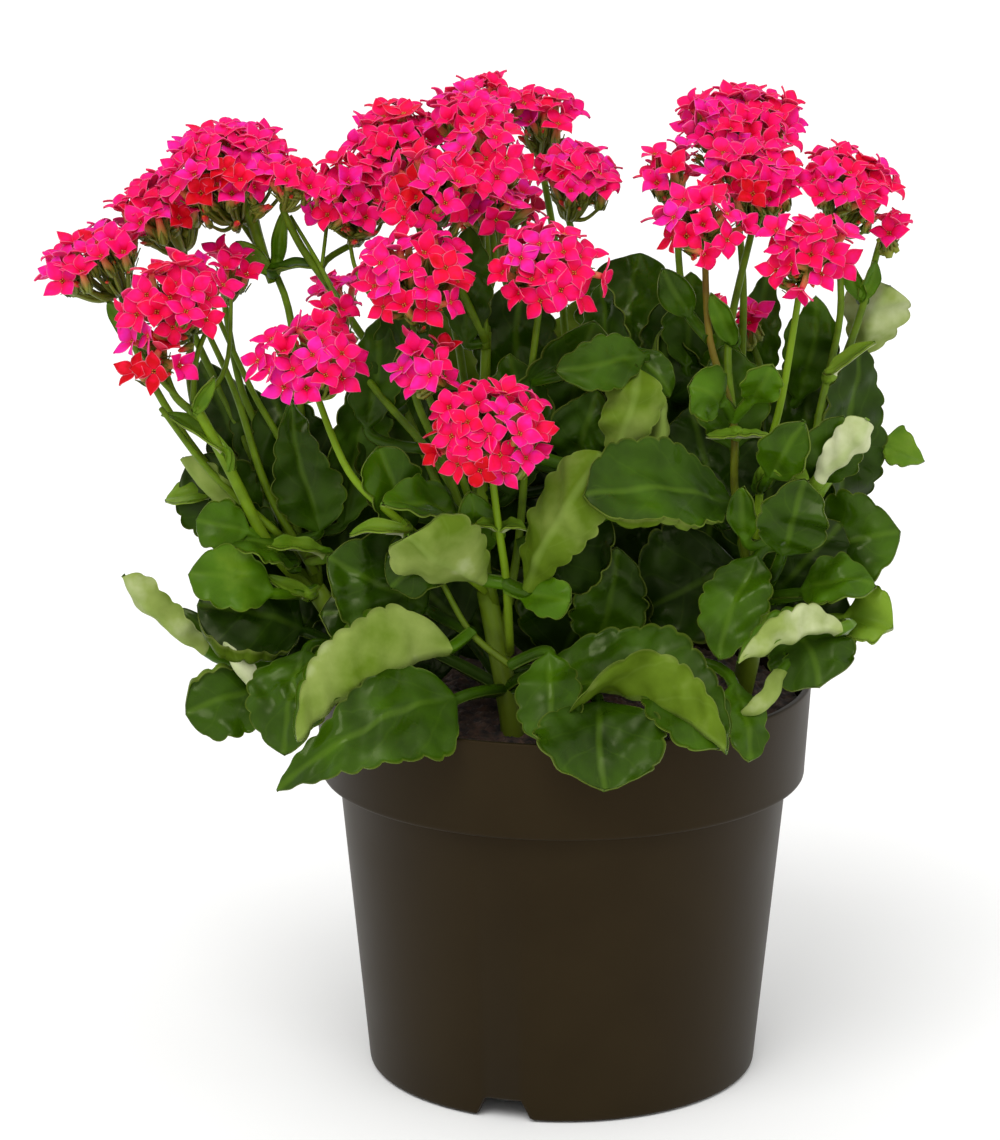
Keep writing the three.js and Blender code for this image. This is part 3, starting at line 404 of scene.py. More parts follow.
# The length and flare of the sepals under an open floret and under a bud.
OPEN_SEPALS = (4.2, 0.5)
BUD_SEPALS = (3.4, 0.2)
TUBE_SIDES = 8
CALYX_SIDES = 6
# A bud's twist, and how far its tip may stand below or above the usual height.
BUD_TWIST = 0.25
BUD_LIFTS = (-1.5, 0.5)
ANTHER_CIRCLE = 0.42
ANTHER_RADIUS = 0.22
ANTHER_TOP, ANTHER_MIDDLE, ANTHER_FOOT = 0.35, 0.1, -0.6
ANTHER_TURNS = (0, 2.1, 4.2)
PETAL, TUBE, GREEN, ANTHER = range(4)
PETAL_CLOUD = 3
PETAL_STREAK = 1.2
SEPAL_CLOUD = 4
POLLEN_GRAIN = 0.5


def petal(turn, cup, droop, twist, size):
    """One petal's closed skin, out from the throat: it rises by its cup, then its tip droops."""
    v = np.linspace(0, 1, PETAL_ROWS)[:, None]
    u = np.linspace(-1, 1, PETAL_COLUMNS)[None, :]
    slope = np.radians(cup) * (1 - CUP_EASES * v) - np.radians(droop) * v ** DROOP_GROWS
    step = PETAL_LENGTH * size / (PETAL_ROWS - 1)
    out = THROAT + np.cumsum(np.cos(slope), 0) * step - step * np.cos(slope[0])
    rise = np.cumsum(np.sin(slope), 0) * step - step * np.sin(slope[0])
    half = PETAL_WIDTH * size / 2 * np.interp(v, *PETAL_OUTLINE)
    crease = CREASE_DEPTH * np.exp(-(u / CREASE_WIDTH) ** 2) * np.sin(math.pi * v)
    z = rise + PETAL_HOLLOW * u ** 2 * v - crease + twist * u * half / PETAL_LENGTH
    x, y = out + 0 * u, half * u
    thick = PETAL_THICKNESS / 2 * (1 - EDGE_THINNING * np.abs(u))
    top, low = np.stack([x, y, z + thick], -1), np.stack([x, y, z - thick], -1)
    place = np.stack([u + 0 * v, v + 0 * u, 1 + 0 * u + 0 * v], -1).reshape(-1, 3)
    c, s = math.cos(turn), math.sin(turn)
    spin = np.array([[c, -s, 0], [s, c, 0], [0, 0, 1]])
    n = PETAL_ROWS * PETAL_COLUMNS
    faces = grid_faces(PETAL_ROWS, PETAL_COLUMNS)
    faces += [face[::-1] for face in grid_faces(PETAL_ROWS, PETAL_COLUMNS, start=n)]
    for i in range(PETAL_ROWS - 1):
        for j in (0, PETAL_COLUMNS - 1):
            a, b = i * PETAL_COLUMNS + j, (i + 1) * PETAL_COLUMNS + j
            faces.append((a, b, b + n, a + n) if j == 0 else (b, a, a + n, b + n))
    for a in range(n - PETAL_COLUMNS, n - 1):
        faces.append((a, a + 1, a + 1 + n, a + n))
    both = np.concatenate([top.reshape(-1, 3), low.reshape(-1, 3)]) @ spin.T
    return both, faces, np.concatenate([place, place * (1, 1, -1)])


def lathe(profile, sides):
    """Points and faces of a turned form, with how far down it each point is as its place."""
    points, place = [], []
    for row, (radius, height) in enumerate(profile):
        for side in range(sides):
            turn = 2 * math.pi * side / sides
            points.append((radius * math.cos(turn), radius * math.sin(turn), height))
            place.append((0, row / (len(profile) - 1), 0))
    return points, grid_faces(len(profile), sides, closed=True), place


def sepals(length, flare):
    """The four pointed sepals that clasp a tube's foot, and the thicker ring they grow from."""
    points, faces, place = lathe(CALYX_PROFILE, CALYX_SIDES)
    for k in range(4):
        turn = math.pi / 4 + k * math.pi / 2
        c, s = math.cos(turn), math.sin(turn)
        start = len(points)
        for v in np.linspace(0, 1, SEPAL_ROWS):
            half = SEPAL_HALF_WIDTH * np.interp(v, *SEPAL_OUTLINE)
            for u, proud in SEPAL_SECTION:
                x, y = SEPAL_REACH + flare * v + proud, half * u
                points.append((x * c - y * s, x * s + y * c, -TUBE_LENGTH + length * v))
                place.append((u, v, 0))
        faces += grid_faces(SEPAL_ROWS, len(SEPAL_SECTION), closed=True, start=start)
        faces.append(tuple(range(len(points) - len(SEPAL_SECTION), len(points))))
    return points, faces, place


def floret(seed, low_cup, high_cup):
    """An open floret with its foot at -TUBE_LENGTH, whose petals spread from its mouth at z = 0."""
    draw = np.random.default_rng(seed)
    parts = []
    cup = draw.uniform(low_cup, high_cup)
    droop = draw.uniform(LEAST_DROOP, MOST_DROOP * high_cup)
    for k in range(4):
        turn = k * math.pi / 2 + draw.uniform(-TURN_VARIES, TURN_VARIES)
        parts.append((PETAL, *petal(turn, cup + draw.uniform(-CUP_VARIES, CUP_VARIES),
                                    droop + draw.uniform(-DROOP_VARIES, DROOP_VARIES),
                                    TWISTS[0] + draw.uniform(-TWISTS[1], TWISTS[1]),
                                    draw.uniform(*PETAL_SIZES))))
    parts.append((TUBE, *lathe(TUBE_PROFILE, TUBE_SIDES)))
    parts.append((GREEN, *sepals(*OPEN_SEPALS)))
    for k in range(4):
        turn = math.pi / 4 + k * math.pi / 2
        x, y = ANTHER_CIRCLE * math.cos(turn), ANTHER_CIRCLE * math.sin(turn)
        ring = [(x + ANTHER_RADIUS * math.cos(t), y + ANTHER_RADIUS * math.sin(t), ANTHER_MIDDLE)
                for t in ANTHER_TURNS]
        ball = [(x, y, ANTHER_TOP), *ring, (x, y, ANTHER_FOOT)]
        sides = [(0, 1, 2), (0, 2, 3), (0, 3, 1), (4, 2, 1), (4, 3, 2), (4, 1, 3)]
        parts.append((ANTHER, ball, sides, [(0, 0, 0)] * 5))
    return parts


def bud(seed):
    """A closed bud: twisted salmon tip on the same swollen tube, clasped by its sepals."""
    draw = np.random.default_rng(seed)
    points, faces, place = lathe(BUD_PROFILE, TUBE_SIDES)
    lift = draw.uniform(*BUD_LIFTS)
    points = [(x * (1 + BUD_TWIST * math.cos(2 * math.atan2(y, x) + z)), y, z + lift)
              for x, y, z in points]
    return [(TUBE, points, faces, place), (GREEN, *sepals(*BUD_SEPALS))]


# Petals: thin, soft and slightly waxy. Hot pink that drifts at random between red and magenta,
# whose darkest crimson is partly painted shade; darker and redder towards the yellow eye as painted
# shade in the throat; paler underneath; with a pale salmon edge that is partly the petal's own
# colour and partly a painted highlight.
petals, tree, shader = material("kalanchoe petal")
place = put(tree, "SeparateXYZ", {
    0: put(tree, "Attribute", attribute_name="place").outputs["Vector"]})
tint = put(tree, "Attribute", attribute_name="tint").outputs["Fac"]
where = put(tree, "TexCoord").outputs["Object"]
cloud = put(tree, "TexNoise", {"Vector": where, "Scale": 1 / (PETAL_CLOUD * MM), "Detail": 2})
shift = put(tree, "MapRange", {"Value": cloud.outputs["Fac"], "From Min": 0.3, "From Max": 0.7,
                               "To Min": -0.2, "To Max": 0.2})
mixed = put(tree, "Math", {0: tint, 1: shift.outputs["Result"]}, operation="ADD")
# Painted shade in part: the crimson low end of this ramp darkens the reddest florets.
pink = put(tree, "ValToRGB", {"Fac": mixed.outputs[0]})
stops(pink, [(0, "#C40414"), (0.2, "#E20A34"), (0.5, "#EA0A5A"), (0.75, "#EA1276"), (1, "#E4209E")])
# Painted shade: towards the throat round the eye the petal is mixed to a darker red.
throat_shade = put(tree, "MapRange", {"Value": place.outputs["Y"], "From Min": 0.02, "From Max": 0.35,
                                  "To Min": 0.8, "To Max": 0.0})
deep = put(tree, "MixRGB", {"Fac": throat_shade.outputs["Result"], "Color1": pink.outputs["Color"],
                            "Color2": srgb("#D80A30")})
beneath = put(tree, "MapRange", {"Value": place.outputs["Z"], "From Min": 0.3, "From Max": -0.3,
                                 "To Max": 0.4})
back = put(tree, "MixRGB", {"Fac": beneath.outputs["Result"], "Color1": deep.outputs["Color"],
                            "Color2": srgb("#F04874")})
side = put(tree, "Math", {0: place.outputs["X"]}, operation="ABSOLUTE")
# Partly a painted highlight, partly the petal's own pale edge: the rim is mixed to pale pink.
rim = put(tree, "MapRange", {"Value": side.outputs[0], "From Min": 0.84, "From Max": 1.0,
                             "To Min": 0.0, "To Max": 0.46})
pale = put(tree, "MixRGB", {"Fac": rim.outputs["Result"], "Color1": back.outputs["Color"],
                            "Color2": srgb("#FF98B4")})
streaks = put(tree, "TexNoise", {"Vector": where, "Scale": 1 / (PETAL_STREAK * MM), "Detail": 3})
rough = put(tree, "Bump", {"Height": streaks.outputs["Fac"], "Strength": 0.15,
                           "Distance": 0.1 * MM})
feed(shader, {"Base Color": pale.outputs["Color"], "Normal": rough.outputs["Normal"],
              "Roughness": 0.55, "Specular IOR Level": 0.08})

# The skin of tubes and buds: smooth, salmon at the mouth and yellow-green towards the foot.
tubes, tree, shader = material("floret tube and bud skin")
place = put(tree, "SeparateXYZ", {
    0: put(tree, "Attribute", attribute_name="place").outputs["Vector"]})
tone = put(tree, "ValToRGB", {"Fac": place.outputs["Y"]})
stops(tone, [(0, "#E8902A"), (0.12, "#DC3A20"), (0.3, "#DC3040"), (0.5, "#C47A46"),
             (0.7, "#8E9234"), (1, "#7E8A24")])
feed(shader, {"Base Color": tone.outputs["Color"], "Roughness": 0.5, "Specular IOR Level": 0.3})

# Sepals and pedicels: fresh green skin that turns yellow in soft patches.
greens, tree, shader = material("sepal and pedicel skin")
where = put(tree, "TexCoord").outputs["Object"]
cloud = put(tree, "TexNoise", {"Vector": where, "Scale": 1 / (SEPAL_CLOUD * MM), "Detail": 2})
tone = put(tree, "MixRGB", {"Fac": cloud.outputs["Fac"], "Color1": srgb("#48580E"),
                            "Color2": srgb("#868C22")})
feed(shader, {"Base Color": tone.outputs["Color"], "Roughness": 0.5})

# Pollen: dry orange dust that fills the eye of each floret.
pollen, tree, shader = material("anther pollen")
where = put(tree, "TexCoord").outputs["Object"]
cloud = put(tree, "TexNoise", {"Vector": where, "Scale": 1 / (POLLEN_GRAIN * MM), "Detail": 1})
tone = put(tree, "MixRGB", {"Fac": cloud.outputs["Fac"], "Color1": srgb("#D8641C"),
                            "Color2": srgb("#F0A83A")})
feed(shader, {"Base Color": tone.outputs["Color"], "Roughness": 0.8})

CUPPED_FLORETS = [floret(seed, *CUPPED) for seed in range(12)]
FLAT_FLORETS = [floret(seed, *FLAT) for seed in range(20, 30)]
BUD_KINDS = [bud(seed) for seed in range(4)]

# ---- flower heads --------------------------------------------------------------------------------
# Each stalk forks under a domed head of florets, one short pedicel to each. They crowd into a full
# dome, flattened where it presses against the next one; salmon buds stand between the open ones.
# Each row: the name, the middle of the dome, its radius, height share and axis, and the path of
# its stalk.
HEADS = {
    "left": [
        ("far_left", (-122, 0, 216.5), 17.5, 0.42, (-0.6, -0.2, 0.8),
         [(-65, -13, 133), (-94, -5, 165), (-109, 0, 189)]),
        ("left_second", (-102, 5, 228), 16, 0.62, (-0.3, -0.3, 0.9),
         [(-65, -12, 132), (-84, 0, 171), (-97, 5, 199)]),
        ("left_top", (-85, 0, 238.5), 19, 0.7, (-0.1, -0.5, 0.85),
         [(-63, -13, 131), (-68, -5, 180), (-72, 2, 206)]),
        ("left_mid", (-98.5, -25, 208), 15, 0.9, (-0.25, -0.75, 0.6),
         [(-93, -28, 181), (-95, -20, 189)]),
        ("left_mid_back", (-86, -2, 212), 9.5, 0.8, (0.15, -0.3, 0.95),
         [(-64, -13, 133), (-75, -5, 164), (-83, -3, 182)]),
        ("left_low", (-103, -32, 195), 9.5, 0.6, (-0.3, -0.8, 0.5),
         [(-91, -27, 179), (-98, -27, 185)]),
    ],
    "centre": [
        ("front_centre", (-19, -62, 182.5), 16.5, 0.8, (0, -0.85, 0.55),
         [(-14, -37, 121), (-15, -45, 142), (-17, -51, 158)]),
        ("centre_right", (-5, -41, 220), 15.5, 0.65, (0.1, -0.8, 0.6),
         [(-16, -34, 124), (-12, -36, 149), (-10, -31, 172), (-9, -32, 190)]),
        ("centre_low", (-35, -50, 196.5), 10.5, 0.7, (0, -0.75, 0.65),
         [(-18, -35, 133), (-24, -43, 162)]),
        ("centre_front", (-38, -40, 216.5), 16, 0.8, (0, -0.7, 0.7),
         [(-19, -33, 136), (-30, -33, 168), (-38, -34, 188)]),
        ("front_left", (-63.5, -42, 196.5), 15.5, 0.75, (-0.1, -0.65, 0.75),
         [(-20, -36, 137), (-42, -42, 157), (-54, -42, 169)]),
        ("front_left_back", (-58, -22, 203), 8, 0.7, (-0.2, -0.6, 0.8),
         [(-28, -31, 162), (-35, -28, 172), (-48, -22, 186)]),
        ("summit_front", (-34, -25, 236), 14.5, 0.9, (-0.1, -0.75, 0.65),
         [(-20, -20, 198), (-27, -22, 213)]),
        ("summit_front_right", (-20, -15, 242), 13, 0.9, (0.1, -0.65, 0.75),
         [(-20, -20, 196), (-21, -18, 210)]),
        ("summit_low_right", (-17, -22, 231), 8.5, 0.8, (0.2, -0.75, 0.6),
         [(-21, -18, 206), (-18, -18, 216)]),
        ("summit_middle", (-24, 4, 249), 13.5, 0.7, (0.1, -0.3, 0.95),
         [(-20, -18, 198), (-20, 0, 222)]),
        ("summit_left", (-43, 10, 243.5), 15.5, 0.75, (-0.2, -0.35, 0.9),
         [(-20, -32, 136), (-27, 0, 192), (-35, 8, 214)]),
        ("summit_back", (-20.5, 25, 250.5), 13, 0.7, (0, -0.2, 1),
         [(-31, 4, 205), (-27, 18, 226)]),
        ("summit_far_left", (-54, -4, 231), 14.5, 0.9, (-0.2, -0.6, 0.8),
         [(-21, -33, 136), (-42, -12, 181), (-56, -5, 203), (-62, -3, 214)]),
        ("left_top_right", (-70, -8, 236), 9, 0.8, (0.2, -0.4, 0.9),
         [(-60, -4, 209), (-67, -4, 219)]),
    ],
    "right": [
        ("right_front", (33, -30, 229), 13.5, 0.8, (-0.15, -0.75, 0.65),
         [(49, -21, 130), (43, -28, 159), (42, -30, 180), (36, -28, 200)]),
        ("right_wide", (48.5, -10, 236.5), 15.5, 0.7, (0.05, -0.45, 0.9),
         [(42, -30, 179), (41, -22, 199)]),
        ("right_top", (44.5, 15, 246.8), 18.5, 0.74, (0, -0.45, 0.9),
         [(49, -19, 130), (46, -2, 179), (46, 4, 209)]),
        ("right_low", (59, -35, 221.5), 13, 1, (0, -0.85, 0.5),
         [(49, -22, 130), (49, -30, 162), (54, -32, 186)]),
        ("right_outer", (72, -5, 235), 15.5, 0.7, (0.2, -0.4, 0.9),
         [(50, -20, 129), (60, -26, 152), (64, -21, 178), (70, -10, 203)]),
        ("right_outer_low", (82.5, -6, 223), 6, 0.8, (0.5, -0.4, 0.8),
         [(64, -20, 178), (72, -9, 193), (77, -4, 207)]),
        ("right_wide_left", (26.5, 0, 236.5), 10, 0.75, (-0.25, -0.35, 0.9),
         [(49, -18, 130), (37, -2, 178), (30, -2, 208)]),
        ("right_tiny", (48, 8, 197), 5, 0.8, (0, -0.5, 0.85),
         [(46, -4, 173), (51, 5, 184)]),
    ],
    "back": [
        ("back_right_top", (-5, 30, 247.5), 13, 0.6, (0.1, -0.2, 1),
         [(4, 32, 131), (0, 34, 198)]),
        ("right_of_summit", (3, 5, 235.5), 14.5, 0.65, (0.15, -0.35, 0.9),
         [(4, 32, 132), (7, 15, 194)]),
        ("back_left", (-60, 46, 198), 8, 0.8, (-0.4, 0.5, 0.8),
         [(3, 33, 127), (-26, 42, 158), (-48, 42, 180)]),
        ("back_middle", (-18, 60, 216), 15, 0.8, (-0.1, 0.6, 0.8),
         [(4, 33, 130), (-6, 46, 170)]),
        ("back_right", (36, 54, 189), 10.5, 0.8, (0.3, 0.6, 0.75),
         [(4, 33, 130), (20, 44, 162)]),
    ],
}
# Florets near these places, across and up as seen from the front, take the darkest tint of the
# petals, a scarlet whose darkness is partly painted shade.
SCARLET = [(-100, 226), (-94, 234), (-88, 238), (-101, 201), (-37, 238), (-20, 174), (-31, 182),
           (54, 213), (46, 233), (-109.5, 194), (-102.5, 193.5), (-29, 202)]
SCARLET_REACH = 3.2
SCARLET_TINT = 0.0
DOME_SINK = 0.3
# Where the pedicels meet under a dome: how far the florets' feet stand in from its skin, at most
# and as a share of its radius, and how deep under its middle the lowest feet lie.
FEET_INSET = 5
FEET_SHARE = 0.4
FLORETS_PROUD = 1.5
LOWEST_FEET = 0.6 * math.cos(2.5)
FORK_DROP = 0.3
STALK_END = 0.3

# How the florets fill a dome. A head that leans to the front holds fewer, which open wider.
FRONT_LEAN = 0.6
FLORET_SPACING = 4.8
FRONT_SPACING = 5.6
FLAT_SHARE = 0.2
FRONT_FLAT_SHARE = 0.75
FEWEST_FLORETS = 3
FEWEST_BUDS = 5
BUDS_PER_FLORET = 1.1
FLORET_INSET = 2.6
FLAT_DOME_ROOM = 0.35
REACH = 1.12
PUSH = 0.3
LOWEST_FLORET = 1.1
LEAN_OPENS = 0.35
PUSHES = 60
FLORETS_RISE = 0.55
FLORET_STANDS = (-2.0, 1.9)
BUD_STANDS = (-3.5, -1.0)
BUMPS = 5
BUMP_HEIGHT = 2.2
BUMP_SHARPNESS = 6
TOP_FLATNESS = 0.75
PRESSED = 2.5
NEIGHBOURLY = 5
# How much a head's florets are sunk, less on a small head, and how far they stand in from its skin.
SINK = 0.9
USUAL_RADIUS = 14
SMALL_HEAD_RISE = 0.1
SIDE_INSET = 3.3
TOP_INSET = 0.6
MIDDLE_RAISED = 1

# Which way a floret looks, besides away from the dome: along its axis, up, and to the front.
ALONG_AXIS = 0.25
SKYWARD = 0.5
FRONT_SKYWARD = 0.15
FRONTWARD = 0.2
RESTLESS = 0.33
HEAD_TINTS = (0.54, 0.7)
TINT_SPREAD = 0.17
LOWEST_TINT = 0.2
FLORET_SIZES = (0.92, 1.08)
BUD_SIZE = 0.85
YOUNG_BUD_SIZE = 0.5
BIG_BUDS = 0.55
# Buds stand low round the rim of a head, and every third one further up between the florets.
RIM_BUDS = (1.2, 1.8)
HIGH_BUDS = (0.2, 1.1)
PEDICEL_RADII = [0.7, 0.45]
PEDICEL_SIDES = 6
PEDICEL_STEPS = 4
FOOT_CLEARANCE = 0.6
KNEE_SHARE = 0.55
KNEE_SAG = 0.12


def unit(vector):
    vector = np.asarray(vector, dtype=float)
    return vector / np.linalg.norm(vector)


class Mesh:
    """Gathers points and faces into one mesh, with each face's look and each point's values."""

    def __init__(self):
        self.points, self.faces, self.looks, self.place, self.tint = [], [], [], [], []
        self.count = 0

    def add(self, points, faces, look, place, tint):
        points = np.asarray(points, dtype=float).reshape(-1, 3)
        self.points.append(points)
        self.faces += [tuple(i + self.count for i in face) for face in faces]
        self.looks += [look] * len(faces) if isinstance(look, int) else list(look)
        self.place.append(np.asarray(place, dtype=float).reshape(-1, 3))
        self.tint.append(np.full(len(points), tint))
        self.count += len(points)

    def make(self, name, materials):
        fields = {"place": np.concatenate(self.place), "tint": np.concatenate(self.tint)}
        return piece(name, np.concatenate(self.points), self.faces, materials, self.looks, fields)


def florets_of(radius, height, lean, spacing):
    """Directions from the dome's middle, pushed apart to fill it. A leaning head opens lower."""
    lowest = LOWEST_FLORET + LEAN_OPENS * lean
    cap = 2 * math.pi * (1 - math.cos(lowest))
    room = cap * (FLAT_DOME_ROOM + (1 - FLAT_DOME_ROOM) * height)
    room = room * ((radius - FLORET_INSET) / spacing) ** 2
    count = max(FEWEST_FLORETS, round(room))
    i = np.arange(count)
    phi = np.arccos(1 - (1 - math.cos(lowest)) * (i + 0.5) / count)
    theta = i * math.pi * (3 - math.sqrt(5))
    eyes = np.stack([np.sin(phi) * np.cos(theta), np.sin(phi) * np.sin(theta), np.cos(phi)], -1)
    reach = REACH * math.sqrt(cap / count)
    for _ in range(PUSHES):
        apart = eyes[:, None] - eyes[None]
        far = (np.linalg.norm(apart, axis=2) + np.eye(count) * 2 * reach)[..., None]
        eyes = eyes + (apart / far * np.clip(reach - far, 0, None) * PUSH).sum(1)
        eyes /= np.linalg.norm(eyes, axis=1)[:, None]
        low = np.arccos(np.clip(eyes[:, 2], -1, 1)) > lowest
        flat = np.linalg.norm(eyes[low, :2], axis=1)[:, None]
        eyes[low, :2] *= math.sin(lowest) / flat
        eyes[low, 2] = math.cos(lowest)
    return eyes


class Head:
    """A flower head from its row, with its dome's own axes as columns and its base's middle."""

    def __init__(self, plant, name, middle, radius, height, axis, path):
        self.plant, self.name, self.middle, self.radius = plant, name, np.array(middle), radius
        self.height, self.axis, self.path = height, axis, path
        self.axes, self.centre = self.dome(axis)

    def dome(self, axis):
        """The axes of the dome when it stands along an axis, and the middle of its base."""
        axis = unit(axis)
        right = unit(np.cross((0, 1, 0), axis))
        axes = np.stack([right, np.cross(axis, right), axis], -1)
        return axes, self.middle - DOME_SINK * self.radius * axis

    def under(self, clear):
        """The place that lies clear of the florets' feet by a distance, on the dome's axis."""
        inner = self.radius + FLORETS_PROUD - min(FEET_INSET, FEET_SHARE * self.radius)
        down = LOWEST_FEET * inner * self.height - clear
        return self.centre + down * self.axes[:, 2]

    def fork(self):
        """Where the stalk forks into pedicels."""
        return self.under(FORK_DROP * self.radius)

    def beyond(self, place, others):
        """Whether a place lies past the plane on which the head presses against a neighbour."""
        for other in others:
            apart = other.centre - self.centre
            far = np.linalg.norm(apart)
            both = self.radius + other.radius
            if far < both + NEIGHBOURLY:
                if (place - self.centre) @ apart / far > far * self.radius / both + PRESSED:
                    return True
        return False


def facing(direction, turn):
    """A turn of a floret so that it looks along a direction."""
    z = unit(direction)
    x = unit(np.cross((0.3, 0.9, 0.2), z))
    y = np.cross(z, x)
    c, s = math.cos(turn), math.sin(turn)
    return np.stack([c * x + s * y, c * y - s * x, z], -1)


def tube_along(path, radii, sides, blush=0.0):
    """A round stem through a path, with its side, share of the way and blush as its place."""
    path = np.asarray(path, dtype=float)
    radii = np.interp(np.linspace(0, 1, len(path)), np.linspace(0, 1, len(radii)), radii)
    across = np.array([1.0, 0.2, 0.1])
    points, place = [], []
    for i, middle in enumerate(path):
        ahead = unit(path[min(i + 1, len(path) - 1)] - path[max(i - 1, 0)])
        across = unit(across - ahead * (across @ ahead))
        other = np.cross(ahead, across)
        for side in range(sides):
            turn = 2 * math.pi * side / sides
            points.append(middle + radii[i] * (math.cos(turn) * across + math.sin(turn) * other))
            place.append((side / sides, i / (len(path) - 1), blush * i / (len(path) - 1)))
    faces = grid_faces(len(path), sides, closed=True)
    faces += [tuple(range(sides))[::-1], tuple((len(path) - 1) * sides + i for i in range(sides))]
    return points, faces, place


def bend(points, steps):
    """A smooth path through points, with the same number of steps between each two."""
    p = np.asarray(points, dtype=float)
    ends = np.concatenate([[2 * p[0] - p[1]], p, [2 * p[-1] - p[-2]]])
    made = []
    for a, b, c, d in zip(ends, ends[1:], ends[2:], ends[3:]):
        for t in np.linspace(0, 1, steps, endpoint=False):
            made.append(0.5 * (2 * b + (c - a) * t + (2 * a - 5 * b + 4 * c - d) * t ** 2
                               + (3 * b - a - 3 * c + d) * t ** 3))
    return np.array(made + [p[-1]])


def spots_of(head, rng, to_front):
    """Where a head's florets and buds stand: direction, how proud, which kinds, and size."""
    spots = []
    spacing = FRONT_SPACING if to_front else FLORET_SPACING
    flat_share = FRONT_FLAT_SHARE if to_front else FLAT_SHARE
    for eye in florets_of(head.radius, head.height, abs(head.axis[1]), spacing):
        kinds = FLAT_FLORETS if rng.uniform() < flat_share else CUPPED_FLORETS
        spots.append((eye, rng.uniform(*FLORET_STANDS), kinds, 1.0))
    for number in range(max(FEWEST_BUDS, round(len(spots) * BUDS_PER_FLORET))):
        low = rng.uniform(*(HIGH_BUDS if number % 3 == 0 else RIM_BUDS))
        turn = rng.uniform(0, 6.28)
        eye = np.array([math.sin(low) * math.cos(turn), math.sin(low) * math.sin(turn),
                        math.cos(low)])
        stand = rng.uniform(*BUD_STANDS)
        size = BUD_SIZE if rng.uniform() < BIG_BUDS else YOUNG_BUD_SIZE
        spots.append((eye, stand, BUD_KINDS, size))
    return spots


heads = [Head(plant, *row) for plant, rows in HEADS.items() for row in rows]
for head in heads:
    rng = np.random.default_rng(sum(map(ord, head.name)))
    axes, centre = head.dome(unit(head.axis) + (0, 0, FLORETS_RISE))
    others = [other for other in heads if other is not head]
    radius, height, fork = head.radius, head.height, head.fork()
    usual = rng.uniform(*HEAD_TINTS)
    bumps = rng.normal(0, 1, (BUMPS, 3))
    bumps /= np.linalg.norm(bumps, axis=1)[:, None]
    to_front = -head.axis[1] > FRONT_LEAN
    wish = ALONG_AXIS * axes[:, 2] + (0, -FRONTWARD, FRONT_SKYWARD if to_front else SKYWARD)
    mesh = Mesh()
    for eye, stand, kinds, size in spots_of(head, rng, to_front):
        stand += (BUMP_HEIGHT * np.max(np.clip(bumps @ eye, 0, 1) ** BUMP_SHARPNESS) - SINK
                  + SMALL_HEAD_RISE * (USUAL_RADIUS - radius))
        wide, tall = radius - SIDE_INSET + stand, (radius - TOP_INSET + stand) * height
        flat_topped = np.array([eye[0], eye[1], np.sign(eye[2]) * abs(eye[2]) ** TOP_FLATNESS])
        spot = centre + (0, 0, MIDDLE_RAISED) + axes @ (flat_topped * np.array([wide, wide, tall]))
        if head.beyond(spot, others):
            continue
        away = unit(axes @ (eye / np.array([1, 1, height])))
        turned = facing(away + wish + rng.normal(0, RESTLESS, 3), rng.uniform(0, 2 * math.pi))
        tint = np.clip(rng.normal(usual, TINT_SPREAD), LOWEST_TINT, 1)
        # Partly painted shade: florets near the SCARLET places get the darkest, scarlet tint.
        if any(math.hypot(spot[0] - x, spot[2] - z) < SCARLET_REACH for x, z in SCARLET):
            tint = SCARLET_TINT
        size = size * rng.uniform(*FLORET_SIZES)
        for look, points, faces, where in kinds[rng.integers(len(kinds))]:
            mesh.add(spot + size * np.asarray(points) @ turned.T, faces, look, where, tint)
        foot = spot - turned[:, 2] * (TUBE_LENGTH + FOOT_CLEARANCE) * size
        knee = fork + KNEE_SHARE * (foot - fork) - KNEE_SAG * radius * axes[:, 2]
        path = bend([fork, knee, foot], PEDICEL_STEPS)
        points, faces, where = tube_along(path, PEDICEL_RADII, PEDICEL_SIDES)
        mesh.add(points, faces, GREEN, where, tint)
    made = mesh.make("flowers_" + head.name, [petals, tubes, greens, pollen])
    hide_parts("head_" + head.name)

# ---- stems ---------------------------------------------------------------------------------------
# Each rooted cutting has one woody green trunk out of the soil. Fleshy round stalks branch from it
# and fork under the flower heads. Rows: the points of a trunk, and its radius at foot and top.
TRUNKS = {
    "left": ([(-46, -14, 97), (-52, -13, 112), (-64, -15, 132)], [3.4, 2.6]),
    "centre": ([(-13, -35, 97), (-15, -35, 111), (-20, -34, 137)], [3.5, 2.6]),
    "right": ([(45, -12, 98), (48, -18, 117), (49, -21, 131)], [3.4, 2.6]),
    "back": ([(2, 32, 97), (4, 34, 114), (4, 32, 134)], [3.4, 2.6]),
}
BRANCHES = {
    "left": [(-63, -15, 129), (-75, -20, 144), (-85, -25, 166), (-93, -28, 183)],
    "centre": [(-20, -33, 134), (-21, -26, 160), (-20, -18, 200)],
}
TRUNK_FOOT = 84.8
BRANCH_RADII = [1.7, 1.3]
STALK_RADII = [1.15, 0.75]
TRUNK_SIDES, STALK_SIDES, THIN_SIDES = 12, 10, 6
